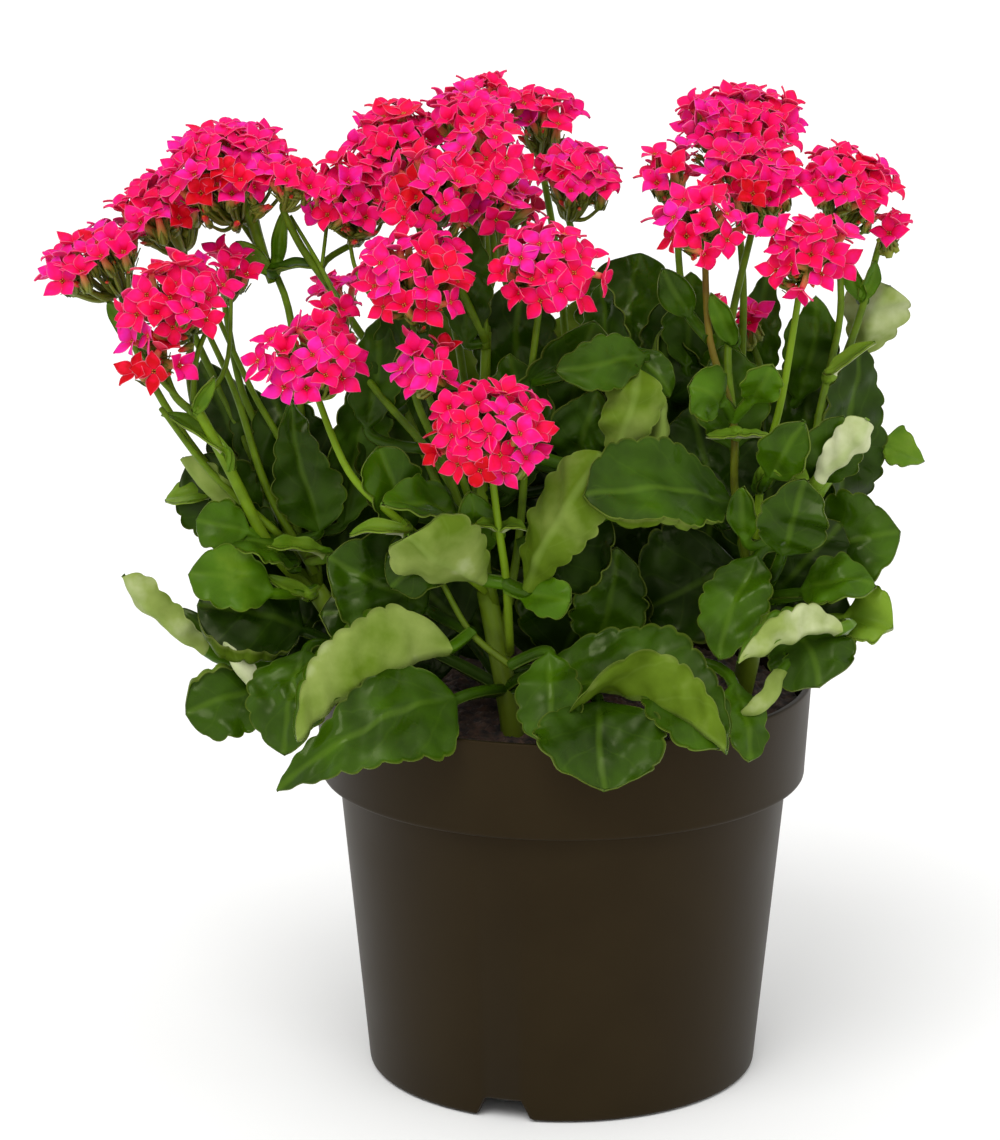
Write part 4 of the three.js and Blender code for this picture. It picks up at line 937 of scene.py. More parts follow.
# Thin side stalks between the heads' own stalks: a path and its thickness at both ends.
SIDE_STALKS = {
    "left": [
        ([(-94, -26, 181), (-102, -28, 190), (-107, -26, 197)], [0.8, 0.5]),
        ([(-94, -26, 181), (-93, -24, 194), (-90, -18, 202)], [0.9, 0.6]),
        ([(-94, -26, 181), (-86, -18, 191), (-85, -5, 209)], [0.8, 0.5]),
        ([(-64, -14, 136), (-76, -14, 158), (-84, -10, 182), (-92, -8, 200)], [1.3, 0.7]),
        ([(-62, -12, 138), (-71, -10, 166), (-80, -6, 182), (-90, -4, 204)], [1.2, 0.6]),
        ([(-72, -18, 146), (-90, -20, 164), (-102, -26, 182)], [1.2, 0.7]),
        ([(-75, 2, 209), (-79, 2, 222), (-81, 1, 231)], [1.2, 2.0]),
    ],
    "centre": [
        ([(-56, -12, 203), (-62, -6, 214), (-70, -2, 227)], [0.7, 0.5]),
        ([(-62, -6, 214), (-61, -3, 222), (-60, -2, 231)], [0.5, 0.5]),
        ([(-40, -18, 196), (-52, -10, 212), (-55, -6, 222)], [0.7, 0.5]),
        ([(-32, -40, 142), (-24, -42, 128), (-14, -45, 120)], [0.7, 1.0]),
    ],
}
# How light each stem is, from old dark green to young yellow-green, and which stalk is flushed red.
# The lighter tint of the stalks listed in SUNLIT is painted light on the stalks the light falls on.
TRUNK_TINT = 0.3
SIDE_STALK_TINT = 0.2
STALK_TINT = 0.1
SUNLIT_TINT = 0.55
SUNLIT = ["front_centre", "right_low", "front_left"]
BLUSHING = "right_front"
BLUSH = 0.8
STEPS_OF_BEND = 6
WOODY_BELOW = 96
GREEN_ABOVE = 150
STEM_FLECK = 5

# Fleshy green skin with a dull wax bloom, flecked, and faint brown where it grows woody.
bark, tree, shader = material("fleshy stem skin")
where = put(tree, "TexCoord").outputs["Object"]
height = put(tree, "SeparateXYZ", {0: where})
woody = put(tree, "MapRange", {"Value": height.outputs["Z"], "From Min": WOODY_BELOW * MM,
                               "From Max": GREEN_ABOVE * MM})
flecks = put(tree, "TexNoise", {"Vector": where, "Scale": 1 / (STEM_FLECK * MM), "Detail": 4})
age = put(tree, "Attribute", attribute_name="tint").outputs["Fac"]
mixed = put(tree, "Math", {0: flecks.outputs["Fac"], 1: age}, operation="ADD")
fresh = put(tree, "ValToRGB", {"Fac": mixed.outputs[0]})
stops(fresh, [(0.3, "#3C5006"), (1, "#6C8A12")])
bare = put(tree, "MixRGB", {"Fac": woody.outputs["Result"], "Color1": srgb("#4A5410"),
                            "Color2": fresh.outputs["Color"]})
place = put(tree, "SeparateXYZ", {
    0: put(tree, "Attribute", attribute_name="place").outputs["Vector"]})
tone = put(tree, "MixRGB", {"Fac": place.outputs["Z"], "Color1": bare.outputs["Color"],
                            "Color2": srgb("#7A4420")})
rough = put(tree, "Bump", {"Height": flecks.outputs["Fac"], "Strength": 0.15, "Distance": 0.3 * MM})
feed(shader, {"Base Color": tone.outputs["Color"], "Normal": rough.outputs["Normal"],
              "Roughness": 0.45, "Specular IOR Level": 0.15})

# Each line of a stem: its points, radii, number of sides, tint and blush.
stem_lines = {plant: [] for plant in TRUNKS}
for plant, (points, radii) in TRUNKS.items():
    stem_lines[plant].append(([(*points[0][:2], TRUNK_FOOT), *points], radii, TRUNK_SIDES,
                              TRUNK_TINT, 0))
    if plant in BRANCHES:
        stem_lines[plant].append((BRANCHES[plant], BRANCH_RADII, STALK_SIDES, TRUNK_TINT, 0))
for head in heads:
    # Painted light: the stalks of the heads in SUNLIT are tinted lighter.
    tint = SUNLIT_TINT if head.name in SUNLIT else STALK_TINT
    path = [*head.path, head.fork(), head.under(STALK_END)]
    blush = BLUSH * (head.name == BLUSHING)
    stem_lines[head.plant].append((path, STALK_RADII, STALK_SIDES, tint, blush))
for plant, stalks in SIDE_STALKS.items():
    stem_lines[plant] += [(path, radii, THIN_SIDES, SIDE_STALK_TINT, 0) for path, radii in stalks]
for plant, lines in stem_lines.items():
    mesh = Mesh()
    for points, radii, sides, tint, blush in lines:
        points, faces, where = tube_along(bend(points, STEPS_OF_BEND), radii, sides, blush)
        mesh.add(points, faces, 0, where, tint)
    stems = mesh.make("stems_" + plant, [bark])
    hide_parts("leafy_stem_" + plant)

# ---- leaves --------------------------------------------------------------------------------------
# Thick fleshy leaves with rounded notches along their edges, each on a short grooved stalk of its
# own that grows out of a stem. The blades fold along the midrib and roll or curl at their edges.
# Each row: where the blade starts, its tip, the way its upper side looks, its width, how far the
# midrib arches, its tone from old dark green at 0 to young yellow-green at 1, the bends of its left
# and right halves, and its outline. The tones are partly painted light and shade: each leaf's tone
# is also set lighter or darker by how lit or shaded it is, and the rows at tone 0 are dark filler
# leaves set deep inside the plant as painted shade. A bend is a fold and a roll in degrees, and the
# curl of the edge if there is one. A bend of five is the fold and roll at the stalk, those at the
# tip, and the share of the width that the half takes.
PLAIN = (5, 10)
LEAVES = {
    "left": [
        ((-66, -30, 119), (-71, -47, 97), (-0.35, -0.7, 0.5), 25, 4, 0.35),
        ((-76, -24, 108), (-97, -31, 103), (-0.2, -0.85, 0.4), 22, 3, 0.3,
         (0, -10), (5, 20, 150), "round"),
        ((-92, -14, 116), (-114, -14, 135), (0.3, 0.75, 0.5), 13, -3, 0.62,
         (15, 40), (15, 70), "spoon"),
        ((-84, -10, 112), (-99, -11, 126), (-0.5, -0.6, 0.6), 7, 2, 0.1),
        ((-68, -18, 122), (-94, -23, 130), (-0.35, -0.65, 0.65), 36, 4, 0.0,
         (-10, 10, 170), PLAIN, "round"),
        ((-75, -26, 134), (-95.5, -31, 140), (-0.2, -0.8, 0.5), 17, 3, 0.62,
         (0, 0), PLAIN, "round"),
        ((-84, -17, 154), (-98, -12, 166), (0.4, 0.6, 0.5), 15, -2, 0.65, (10, 30), (15, 40)),
        ((-81, -22, 149), (-94, -22, 152), (-0.3, -0.8, 0.5), 15, 2, 0.5, PLAIN, (5, 40), "round"),
        ((-91, -6, 155), (-103, -6, 153), (0, -0.4, 0.9), 9, 1, 0.9, (10, 10), (10, 10)),
        ((-80, -6, 147), (-97, -2, 163), (-0.5, -0.6, 0.5), 25, 3, 0.15),
        ((-74, -10, 142), (-90, -12, 149), (-0.4, -0.7, 0.5), 17, 3, 0.1, PLAIN, (5, 30)),
        ((-69, -20, 140), (-87, -24, 146), (-0.2, -0.3, 0.9), 18, 3, 0.3, (0, 0), (10, 10)),
        ((-63, -4, 146), (-76, -2, 182), (-0.1, -0.9, 0.3), 24, 3, 0.05, PLAIN, (5, 15)),
        ((-63, -16, 148), (-70, -13, 182), (0.1, -0.9, 0.3), 20, 3, 0.3,
         (10, 10), (10, 15), "long"),
        ((-57, -12, 149), (-50, -9, 190), (0.3, -0.9, 0.2), 18, 3, 0.35, (10, 20), (10, 35)),
        ((-61, -20, 143), (-78, -24, 145), (0, -0.35, 0.9), 7, 1, 0.8, (10, 20), (10, 20)),
        ((-66, -20, 132), (-76, -24, 138), (0.2, -0.8, 0.5), 4, 1, 0.9, (10, 20), (10, 20)),
        ((-86, -26, 171), (-102, -24, 180), (0, -0.5, 0.85), 6, 1, 0.8, (20, 20), (20, 20)),
        ((-93, -28, 182), (-88, -30, 191), (0.3, -0.8, 0.3), 4, 1, 0.7, (20, 20), (20, 20)),
        ((-108, 0, 194), (-117, -3, 205), (-0.6, -0.5, 0.4), 7, 1, 0.5, (10, 20), (10, 20)),
        ((-76, 2, 212), (-84, 0, 220), (-0.3, -0.8, 0.4), 5, 1, 0.8, (10, 20), (10, 20)),
        ((-74, 2, 214), (-71, -2, 229), (0.2, -0.9, 0.3), 4, 1, 0.8, (10, 20), (10, 20)),
        ((-74, 0, 213), (-62, -3, 214), (0, -0.4, 0.9), 4, 1, 0.4, (10, 20), (10, 20)),
        ((-69, 0, 150), (-84, 4, 182), (-0.2, -0.9, 0.3), 18, 3, 0.15),
        ((-80, 2, 155), (-94, 6, 188), (-0.2, -0.9, 0.3), 16, 3, 0.1),
        ((-79, -31, 111), (-87, -29, 122), (0.4, 0.8, 0.3), 8, -2, 1.0, (20, 60), (20, 60), "long"),
        ((-58, 2, 112), (-80, 8, 126), (-0.1, -0.9, 0.4), 36, 3, 0.0),
        ((-58, 0, 126), (-58, 4, 158), (0.1, -0.9, 0.3), 34, 3, 0.0),
        ((-60, 8, 140), (-84, 12, 150), (-0.1, -0.9, 0.3), 34, 3, 0.0),
        ((-50, 0, 108), (-74, -16, 108), (-0.1, -0.9, 0.4), 26, 3, 0.0),
    ],
    "centre": [
        ((-6, -47, 118), (39, -76, 107), (0, -0.45, 0.9), 40, 4, 0.25,
         (25, 20), (-25, -10, 112, 25, 0.7)),
        ((8, -60, 114), (9, -79, 98), (0, -0.85, 0.5), 34, 3, 0.18, (5, 20), (5, 15), "round"),
        ((-4, -50, 124), (-4, -66, 105), (-0.2, -0.85, 0.4), 18, 2, 0.3, PLAIN, (5, 20), "round"),
        ((20, -58, 118), (38, -72, 106), (0.1, -0.6, 0.7), 20, 2, 0.3, PLAIN, PLAIN, "round"),
        ((42, -50, 116), (45, -66, 101), (0.3, -0.8, 0.5), 12, 2, 0.4, (5, 0), (0, -10), "round"),
        ((-28, -52, 113), (-72, -66, 94), (0, -0.6, 0.8), 32, 9, 0.25,
         (-8, -10), (15, 10, 15, 10, 0.85), "drawn"),
        ((-29, -46, 125), (-67, -65, 106.5), (-0.1, -0.3, 0.9), 34, 3, 0.55,
         (98, 20), (25, 20), "early"),
        ((-29, -8, 149), (-44, -3, 183), (0.1, -1, 0.2), 40, 3, 0.15),
        ((-26, -44, 158), (-46, -57, 164), (-0.1, -0.7, 0.7), 17, 3, 0.45, (10, 30)),
        ((-40, -36, 152), (-47, -40, 175), (0.1, -0.9, 0.3), 16, 3, 0.3,
         (10, 30), (5, 20), "spoon"),
        ((-21, -45, 143), (-39, -60, 157), (-0.2, 0.75, 0.6), 27, -3, 0.55,
         (10, 20), (10, 20), "spoon"),
        ((-23, -42, 148), (-24, -50, 166), (0.1, -0.9, 0.3), 14, 2, 0.6, (10, 20), (10, 20)),
        ((-36, -30, 131), (-60, -40, 147), (-0.2, -0.8, 0.5), 30, 4, 0.2),
        ((-42, -26, 122), (-62, -36, 131), (-0.2, -0.8, 0.5), 26, 4, 0.1),
        ((-32, -38, 148), (-44, -46, 140), (-0.2, -0.8, 0.5), 18, 3, 0.1),
        ((-40, -46, 155), (-54, -46, 154), (0, -0.3, 0.9), 6, 1, 0.85, (15, 10), (15, 10)),
        ((-17, -49, 156), (-23, -52, 158), (0, -0.5, 0.85), 4.5, 1, 0.9, (15, 10), (15, 10)),
        ((-17, -49, 156), (-10, -52, 157), (0, -0.5, 0.85), 4.5, 1, 0.9, (15, 10), (15, 10)),
        ((-11, -47, 139), (1, -56, 139), (0.1, -0.8, 0.5), 11, 1, 0.65, PLAIN, (0, -10), "spoon"),
        ((-9, -48, 141), (9, -50, 176), (0.6, 0.75, 0.25), 21, -8, 0.35,
         (15, 50), (10, 20), "spoon"),
        ((-6, -30, 139), (10, -34, 158), (-0.1, -0.9, 0.3), 27, 4, 0.02, PLAIN, (5, 10, 60)),
        ((8, -26, 120), (13, -31, 147), (0.2, -0.95, 0.2), 21, 4, 0.25, PLAIN, (5, 10, 40)),
        ((12, -38, 172), (18, -34, 194), (0.1, 0.9, 0.3), 17, -4, 0.4, (10, 30), (10, 30), "spoon"),
        ((22, -36, 170), (24, -34, 186), (-0.3, 0.9, 0.1), 6, -1, 0.5, (15, 60), (15, 60)),
        ((19, -30, 196), (-3, -38, 194), (-0.1, -0.9, 0.4), 15, 3, 0.4, PLAIN, (5, 20)),
        ((17, -28, 197), (26, -32, 186), (0.3, -0.8, 0.4), 10, 2, 0.3, PLAIN, (5, 20)),
        ((2, -28, 168), (8, -33, 188), (0, -0.9, 0.3), 20, 3, 0.25, PLAIN, (5, 30)),
        ((-1, -20, 163), (7, -28, 205), (0.1, -0.9, 0.4), 34, 4, 0.2, (5, 30), (5, 30)),
        ((-14, -26, 160), (-14, -26, 196), (0, -0.9, 0.3), 22, 3, 0.2, (5, 20), (5, 20)),
        ((-1, -18, 114), (10, -20, 147), (0.1, -0.95, 0.2), 36, 4, 0.05),
        ((-5, -16, 112), (3, -6, 138), (0, -0.9, 0.4), 36, 3, 0.0),
        ((0, -16, 150), (-6, -14, 182), (0, -0.9, 0.4), 24, 3, 0.0),
        ((-20, -10, 112), (-26, -12, 142), (0, -0.9, 0.4), 24, 3, 0.0),
        ((-12, -14, 176), (-10, -12, 215), (0, -0.9, 0.4), 22, 2, 0.1),
        ((-44, -18, 180), (-41, -18, 212), (0, -0.9, 0.4), 16, 2, 0.15),
        ((-50, -20, 176), (-47, -20, 204), (0, -0.9, 0.4), 14, 2, 0.2),
        ((-25, -20, 198), (-24, -18, 227), (0, -0.9, 0.4), 14, 2, 0.3),
        ((-28, -14, 112), (-50, -8, 124), (-0.1, -0.9, 0.4), 38, 3, 0.0),
        ((-26, -18, 122), (-44, -14, 142), (-0.1, -0.9, 0.4), 34, 3, 0.0),
        ((10, -24, 152), (20, -22, 176), (0, -0.9, 0.4), 34, 3, 0.0),
    ],
    "right": [
        ((41, -34, 159), (4, -58, 167), (-0.1, -0.8, 0.55), 28, 5, 0.3,
         (0, 10, 100), (5, 30), "spoon"),
        ((39, -33, 185), (30, -38, 190), (-0.4, -0.8, 0.4), 15, 2, 0.5, PLAIN, PLAIN, "round"),
        ((46, -34, 186), (51, -40, 196), (0.3, -0.9, 0.3), 11, 2, 0.65, PLAIN, PLAIN, "round"),
        ((43, -32, 177), (35, -36, 177), (0, -0.3, 1), 3.5, 0, 0.9),
        ((43, -32, 177), (51, -36, 177), (0, -0.3, 1), 3.5, 0, 0.9),
        ((43, -18, 170), (40, -16, 196), (0, -0.9, 0.3), 20, 2, 0.35),
        ((49, 12, 176), (53, 17, 209), (0.1, -0.9, 0.2), 12, 3, 0.4),
        ((39, 0, 176), (41, -2, 204), (0.1, -0.9, 0.2), 12, 3, 0.45),
        ((64, 0, 180), (59, 3, 200), (-0.1, -0.9, 0.2), 12, 2, 0.6),
        ((31, -20, 205), (24, -22, 217), (-0.3, -0.6, 0.5), 9, 1, 0.3, (10, 10), (10, 20)),
        ((42, -24, 199), (36, -30, 212), (-0.2, -0.8, 0.3), 6, 1, 0.5, (10, 10), (10, 20)),
        ((76, 4, 190), (83.5, 0, 208.5), (0.2, 0.9, 0.2), 19, -2, 0.74,
         (10, 30), (10, 30), "spoon"),
        ((68, -6, 146), (75, -12, 196), (0.4, -0.85, 0.3), 23, 4, 0.12),
        ((60, 0, 150), (63, 0, 186), (0.2, -0.9, 0.3), 26, 4, 0.05),
        ((64, -20, 143), (85, -26, 150), (0.3, -0.8, 0.5), 27, 4, 0.3),
        ((60, -34, 136), (78, -40, 139), (0.2, -0.65, 0.7), 17, 4, 0.5, (5, 15)),
        ((63, -40, 167), (74.5, -46, 183), (0.3, 0.8, 0.5), 12.5, -1, 0.9,
         (20, 60), (15, 20), "spoon"),
        ((62, -36, 166), (69, -39, 183), (0.1, -0.9, 0.3), 17, 3, 0.2),
        ((51, -40, 168), (59, -44, 183), (0.1, -0.9, 0.3), 15, 3, 0.4, PLAIN, (5, 60)),
        ((52, -40, 170), (60.5, -42, 167), (0.1, -0.8, 0.6), 5.5, 1, 0.85),
        ((54, -44, 149), (59, -48, 169), (0.1, -0.95, 0.3), 19, 3, 0.25),
        ((82, -8, 169), (92.5, -8, 164), (0.2, -0.8, 0.5), 13, 1, 0.8, PLAIN, PLAIN, "long"),
        ((68, -50, 131), (42, -64, 126), (0, -0.4, 0.9), 17, 3, 0.7, (95, 25), (20, 20)),
        ((58, -42, 127), (63, -55, 117), (0, -0.6, 0.8), 23, 3, 0.25, (0, -10), (0, -10), "round"),
        ((71, -30, 128), (83, -34, 127), (0.2, -0.8, 0.5), 18, 2, 1.0, PLAIN, (5, 40), "round"),
        ((48, -38, 146), (38, -51, 123), (-0.3, -0.9, 0.2), 18, 3, 0.35),
        ((45, -40, 152), (44, -44, 166), (-0.3, -0.9, 0.2), 8, 1, 0.5),
        ((47, -43, 138), (50, -48, 126), (0.3, -0.9, 0.2), 5, 1, 0.85),
        ((53, -52, 121), (43, -58, 111), (-0.1, 0.6, 0.6), 9, -4, 0.6, (15, 50), (15, 30)),
        ((44, -15, 138), (19, -24, 128), (-0.1, -0.8, 0.5), 36, 4, 0.05),
        ((67, -20, 190), (78, -21, 198), (0, -0.5, 0.85), 4.5, 1, 0.9, (15, 10), (15, 10)),
        ((76, -4, 206), (79, -4, 216), (0.3, -0.9, 0.3), 5, 1, 0.5, (15, 10), (15, 10)),
        ((76, -4, 206), (72, -4, 216), (-0.3, -0.9, 0.3), 5, 1, 0.4, (15, 10), (15, 10)),
        ((54, -18, 118), (66, -22, 140), (0.1, -0.9, 0.3), 34, 3, 0.0),
        ((31, -10, 190), (32, -12, 214), (0, -0.9, 0.3), 15, 2, 0.3),
        ((60, -4, 180), (64, -6, 207), (0.1, -0.9, 0.3), 14, 2, 0.3),
        ((52, -10, 140), (54, -10, 172), (0.1, -0.9, 0.3), 36, 3, 0.0),
        ((54, -24, 134), (70, -26, 152), (0.1, -0.9, 0.3), 26, 3, 0.0),
        ((40, -16, 150), (32, -14, 180), (-0.1, -0.9, 0.3), 32, 3, 0.0),
    ],
    "back": [
        ((18, 15, 180), (20, 23, 213), (-0.2, -0.8, 0.5), 29, 4, 0.3, (10, 20), (10, 20), "round"),
        ((16, 3, 175), (10, 4, 209), (-0.5, -0.8, 0.2), 18, 3, 0.25, (10, 40), (10, 30)),
        ((26, -3, 172), (25, -10, 200), (0.2, -0.9, 0.3), 24, 3, 0.05, (10, 60), (10, 50)),
        ((34, 8, 172), (31, 14, 207), (-0.1, -0.9, 0.2), 26, 3, 0.05, (10, 20), (10, 20)),
        ((-10, 40, 124), (-52, 60, 122), (-0.2, 0.4, 0.9), 40, 6, 0.2, (5, 15), (5, 15)),
        ((0, 46, 118), (-8, 84, 106), (-0.1, 0.5, 0.85), 44, 7, 0.15, (5, 20), (0, 15)),
        ((14, 42, 122), (46, 66, 112), (0.3, 0.4, 0.85), 42, 6, 0.2, (5, 15), (5, 20)),
        ((-18, 34, 138), (-56, 44, 152), (-0.3, 0.6, 0.7), 38, 5, 0.25, (10, 15), (5, 15)),
        ((-8, 46, 146), (-28, 74, 160), (-0.1, 0.7, 0.7), 36, 5, 0.3, (5, 20), (5, 20)),
        ((10, 44, 144), (20, 76, 152), (0.2, 0.7, 0.7), 40, 5, 0.25, (5, 20), (5, 20)),
        ((20, 34, 138), (56, 44, 142), (0.3, 0.5, 0.8), 38, 5, 0.2, (5, 15), (5, 15)),
        ((-14, 32, 166), (-34, 38, 194), (-0.3, 0.8, 0.4), 32, 4, 0.3, (5, 15), (5, 15)),
        ((8, 42, 168), (10, 58, 196), (0.1, 0.9, 0.3), 34, 4, 0.3, (5, 15), (5, 15)),
        ((34, 26, 140), (42, 24, 184), (0, -0.9, 0.3), 44, 4, 0.0, (5, 15), (5, 15)),
        ((10, 12, 118), (12, 10, 154), (0, -0.9, 0.3), 38, 4, 0.0, (5, 15), (5, 15)),
        ((30, 20, 114), (40, 16, 146), (0, -0.9, 0.3), 42, 4, 0.0, (5, 15), (5, 15)),
        ((-16, 20, 122), (-26, 18, 162), (0, -0.9, 0.3), 42, 4, 0.0, (5, 15), (5, 15)),
        ((-40, 24, 130), (-52, 20, 172), (0, -0.9, 0.3), 42, 4, 0.0, (5, 15), (5, 15)),
    ],
}
# The outlines: where along the blade it is widest, and how blunt its tip is.
OUTLINES = {"oval": (0.45, 2.2), "round": (0.5, 3.0), "long": (0.3, 1.05), "spoon": (0.7, 2.6),
            "drawn": (0.22, 1.0), "early": (0.28, 2.4)}
LOWEST_LEAF = 106
LEAF_THICKNESS = 1.2
EDGE_THICKNESS = 0.45
STALK_WIDTH = 1.5
STALK_ROWS = 9
STALK_KNEE = 0.28
ROWS_PER_MM = 1.6
FEWEST_ROWS = 16
COLUMNS = 10
SMALL_COLUMNS = 4
SMALL_LEAF = 9
NOTCH_SPACING = 5
NOTCH_DEPTH = 1.5
NOTCH_SHARE = 0.13
NOTCH_ROUNDNESS = 0.55
NOTCH_SHIFT = 0.2
FEWEST_NOTCHES = 3
# A leaf of this width or more has the full waves, twist and pucker; a narrower one has less.
FULL_WAVE_WIDTH = 18
SIDEWAYS_BOW = 0.05
TWIST = 14
WAVES = (0.4, 1.2)
WAVE_COUNTS = (1.5, 2.8)
PUCKER = 0.28
PUCKER_WAVES = 6
PUCKER_TURNS = 0.9
CURL_STARTS = 0.66
# Where along the blade a half with two bends goes over from the first to the second.
BEND_CHANGES = (0.2, 0.6)
GROOVE_DEPTH = 0.5
GROOVE_WIDTH = 0.9
RIDGE_HEIGHT = 0.9
RIDGE_WIDTH = 1.1
LEAF_CLOUD = 14
LEAF_QUILT = 5
GLOSS_PATCH = 9
SIDE_VEINS = 7.0


def smooth_step(t, low, high):
    t = np.clip((t - low) / (high - low), 0, 1)
    return t * t * (3 - 2 * t)


def nearest_on_stems(lines, target):
    """The place at or below a leaf where its stalk grows out of the stems."""
    best = None
    for points, *_ in lines:
        for a, b in zip(np.array(points, float), np.array(points, float)[1:]):
            t = np.clip((target - a) @ (b - a) / ((b - a) @ (b - a)), 0, 1)
            place = a + t * (b - a)
            if place[2] < LOWEST_LEAF:
                continue
            score = np.linalg.norm(place - target) + 2 * max(0, place[2] - target[2] + 3)
            if best is None or score < best[0]:
                best = (score, place)
    return best[1]


def half_share(t, widest, blunt):
    """The share of its half width that a blade has along its length."""
    rise = np.clip(t / widest, 0, 1)
    fall = np.clip((t - widest) / (1 - widest), 0, 1)
    return np.where(t < widest, (1 - (1 - rise) ** 2) ** 0.7, (1 - fall ** blunt) ** 0.75)


def leaf_spine(root, draw, base, tip, face, arch):
    """The middle line of a leaf's stalk and blade, with its share of the blade, ups and sides."""
    face = np.array(face)
    along = tip - base
    length = np.linalg.norm(along)
    forward = along / length
    up = unit(face - forward * (forward @ face))
    side = np.cross(forward, up)
    knee = base - forward * STALK_KNEE * np.linalg.norm(base - root)
    s = np.linspace(0, 1, STALK_ROWS, endpoint=False)[:, None]
    stalk = (1 - s) ** 2 * root + 2 * s * (1 - s) * knee + s ** 2 * base
    t = np.linspace(0, 1, max(FEWEST_ROWS, round(ROWS_PER_MM * length)))[:, None] ** 1.05
    bow = draw.uniform(-SIDEWAYS_BOW, SIDEWAYS_BOW) * length
    bow = bow * np.sin(math.pi * t ** 1.4) * smooth_step(t, 0, 0.5)
    blade = base + along * t + up * arch * 4 * t * (1 - t) + side * bow
    spine = np.concatenate([stalk, blade])
    t = np.concatenate([np.zeros(STALK_ROWS), t[:, 0]])
    ahead = np.gradient(spine, axis=0)
    ahead /= np.linalg.norm(ahead, axis=1)[:, None]
    ups = face - ahead * (ahead @ face)[:, None]
    ups /= np.linalg.norm(ups, axis=1)[:, None]
    blend = smooth_step(t, 0, 0.1)[:, None]
    ups = ups * (1 - blend) + up * blend
    sides = np.cross(ahead, ups) * (1 - blend) + side * blend
    ups, sides = (v / np.linalg.norm(v, axis=1)[:, None] for v in (ups, sides))
    twist = (np.radians(draw.uniform(-TWIST, TWIST)) * t)[:, None]
    c, s = np.cos(twist), np.sin(twist)
    return spine, t, ups * c + sides * s, sides * c - ups * s


def half_blade(spine, t, ups, sides, draw, width, length, bends, outline, sign):
    """One half of a blade, from its midrib out: its points, normals and place."""
    small = width <= SMALL_LEAF
    oval = half_share(t, *OUTLINES[outline])
    fold, roll = bends[:2]
    tip_fold, tip_roll = bends[2:4] if len(bends) > 3 else bends[:2]
    share = bends[4] if len(bends) > 4 else 1
    curl = np.radians(bends[2] if len(bends) == 3 else 0) * oval
    later = smooth_step(t, *BEND_CHANGES)
    fold = np.radians(fold + (tip_fold - fold) * later)
    roll = np.radians(roll + (tip_roll - roll) * later)
    phase = t * max(FEWEST_NOTCHES, round(length / NOTCH_SPACING))
    phase = phase + draw.uniform(-NOTCH_SHIFT, NOTCH_SHIFT)
    notch = np.abs(np.sin(math.pi * phase)) ** NOTCH_ROUNDNESS
    half = width / 2 * share * oval
    half = half - np.minimum(NOTCH_DEPTH * (1 - notch), NOTCH_SHARE * half) * (not small)
    half = np.sqrt(half ** 2 + (STALK_WIDTH * (1 - t)) ** 2)
    high = min(1, width / FULL_WAVE_WIDTH) * draw.uniform(*WAVES)
    waves = high * np.sin(2 * math.pi * (t * draw.uniform(*WAVE_COUNTS) + draw.uniform()))
    columns = SMALL_COLUMNS if small else COLUMNS
    u = np.linspace(0, 1, columns + 1)
    middle = (u[1:] + u[:-1]) / 2
    angle = fold[:, None] + roll[:, None] * middle[None, :]
    angle = angle + curl[:, None] * smooth_step(middle, CURL_STARTS, 1)[None, :]
    step = (half / columns)[:, None]
    x = np.cumsum(np.cos(angle) * step, 1)
    y = np.cumsum(np.sin(angle) * step, 1)
    angle, x, y = (np.concatenate([v[:, :1] * 0, v], 1)[..., None] for v in (angle, x, y))
    y = y + (waves[:, None] * u[None, :] ** 2 * oval[:, None])[..., None]
    ups, sides = ups[:, None], sign * sides[:, None]
    place = np.broadcast_arrays(sign * u[None, :], t[:, None], half[:, None])
    return (spine[:, None] + sides * x + ups * y, ups * np.cos(angle) - sides * np.sin(angle),
            np.stack(place, -1))


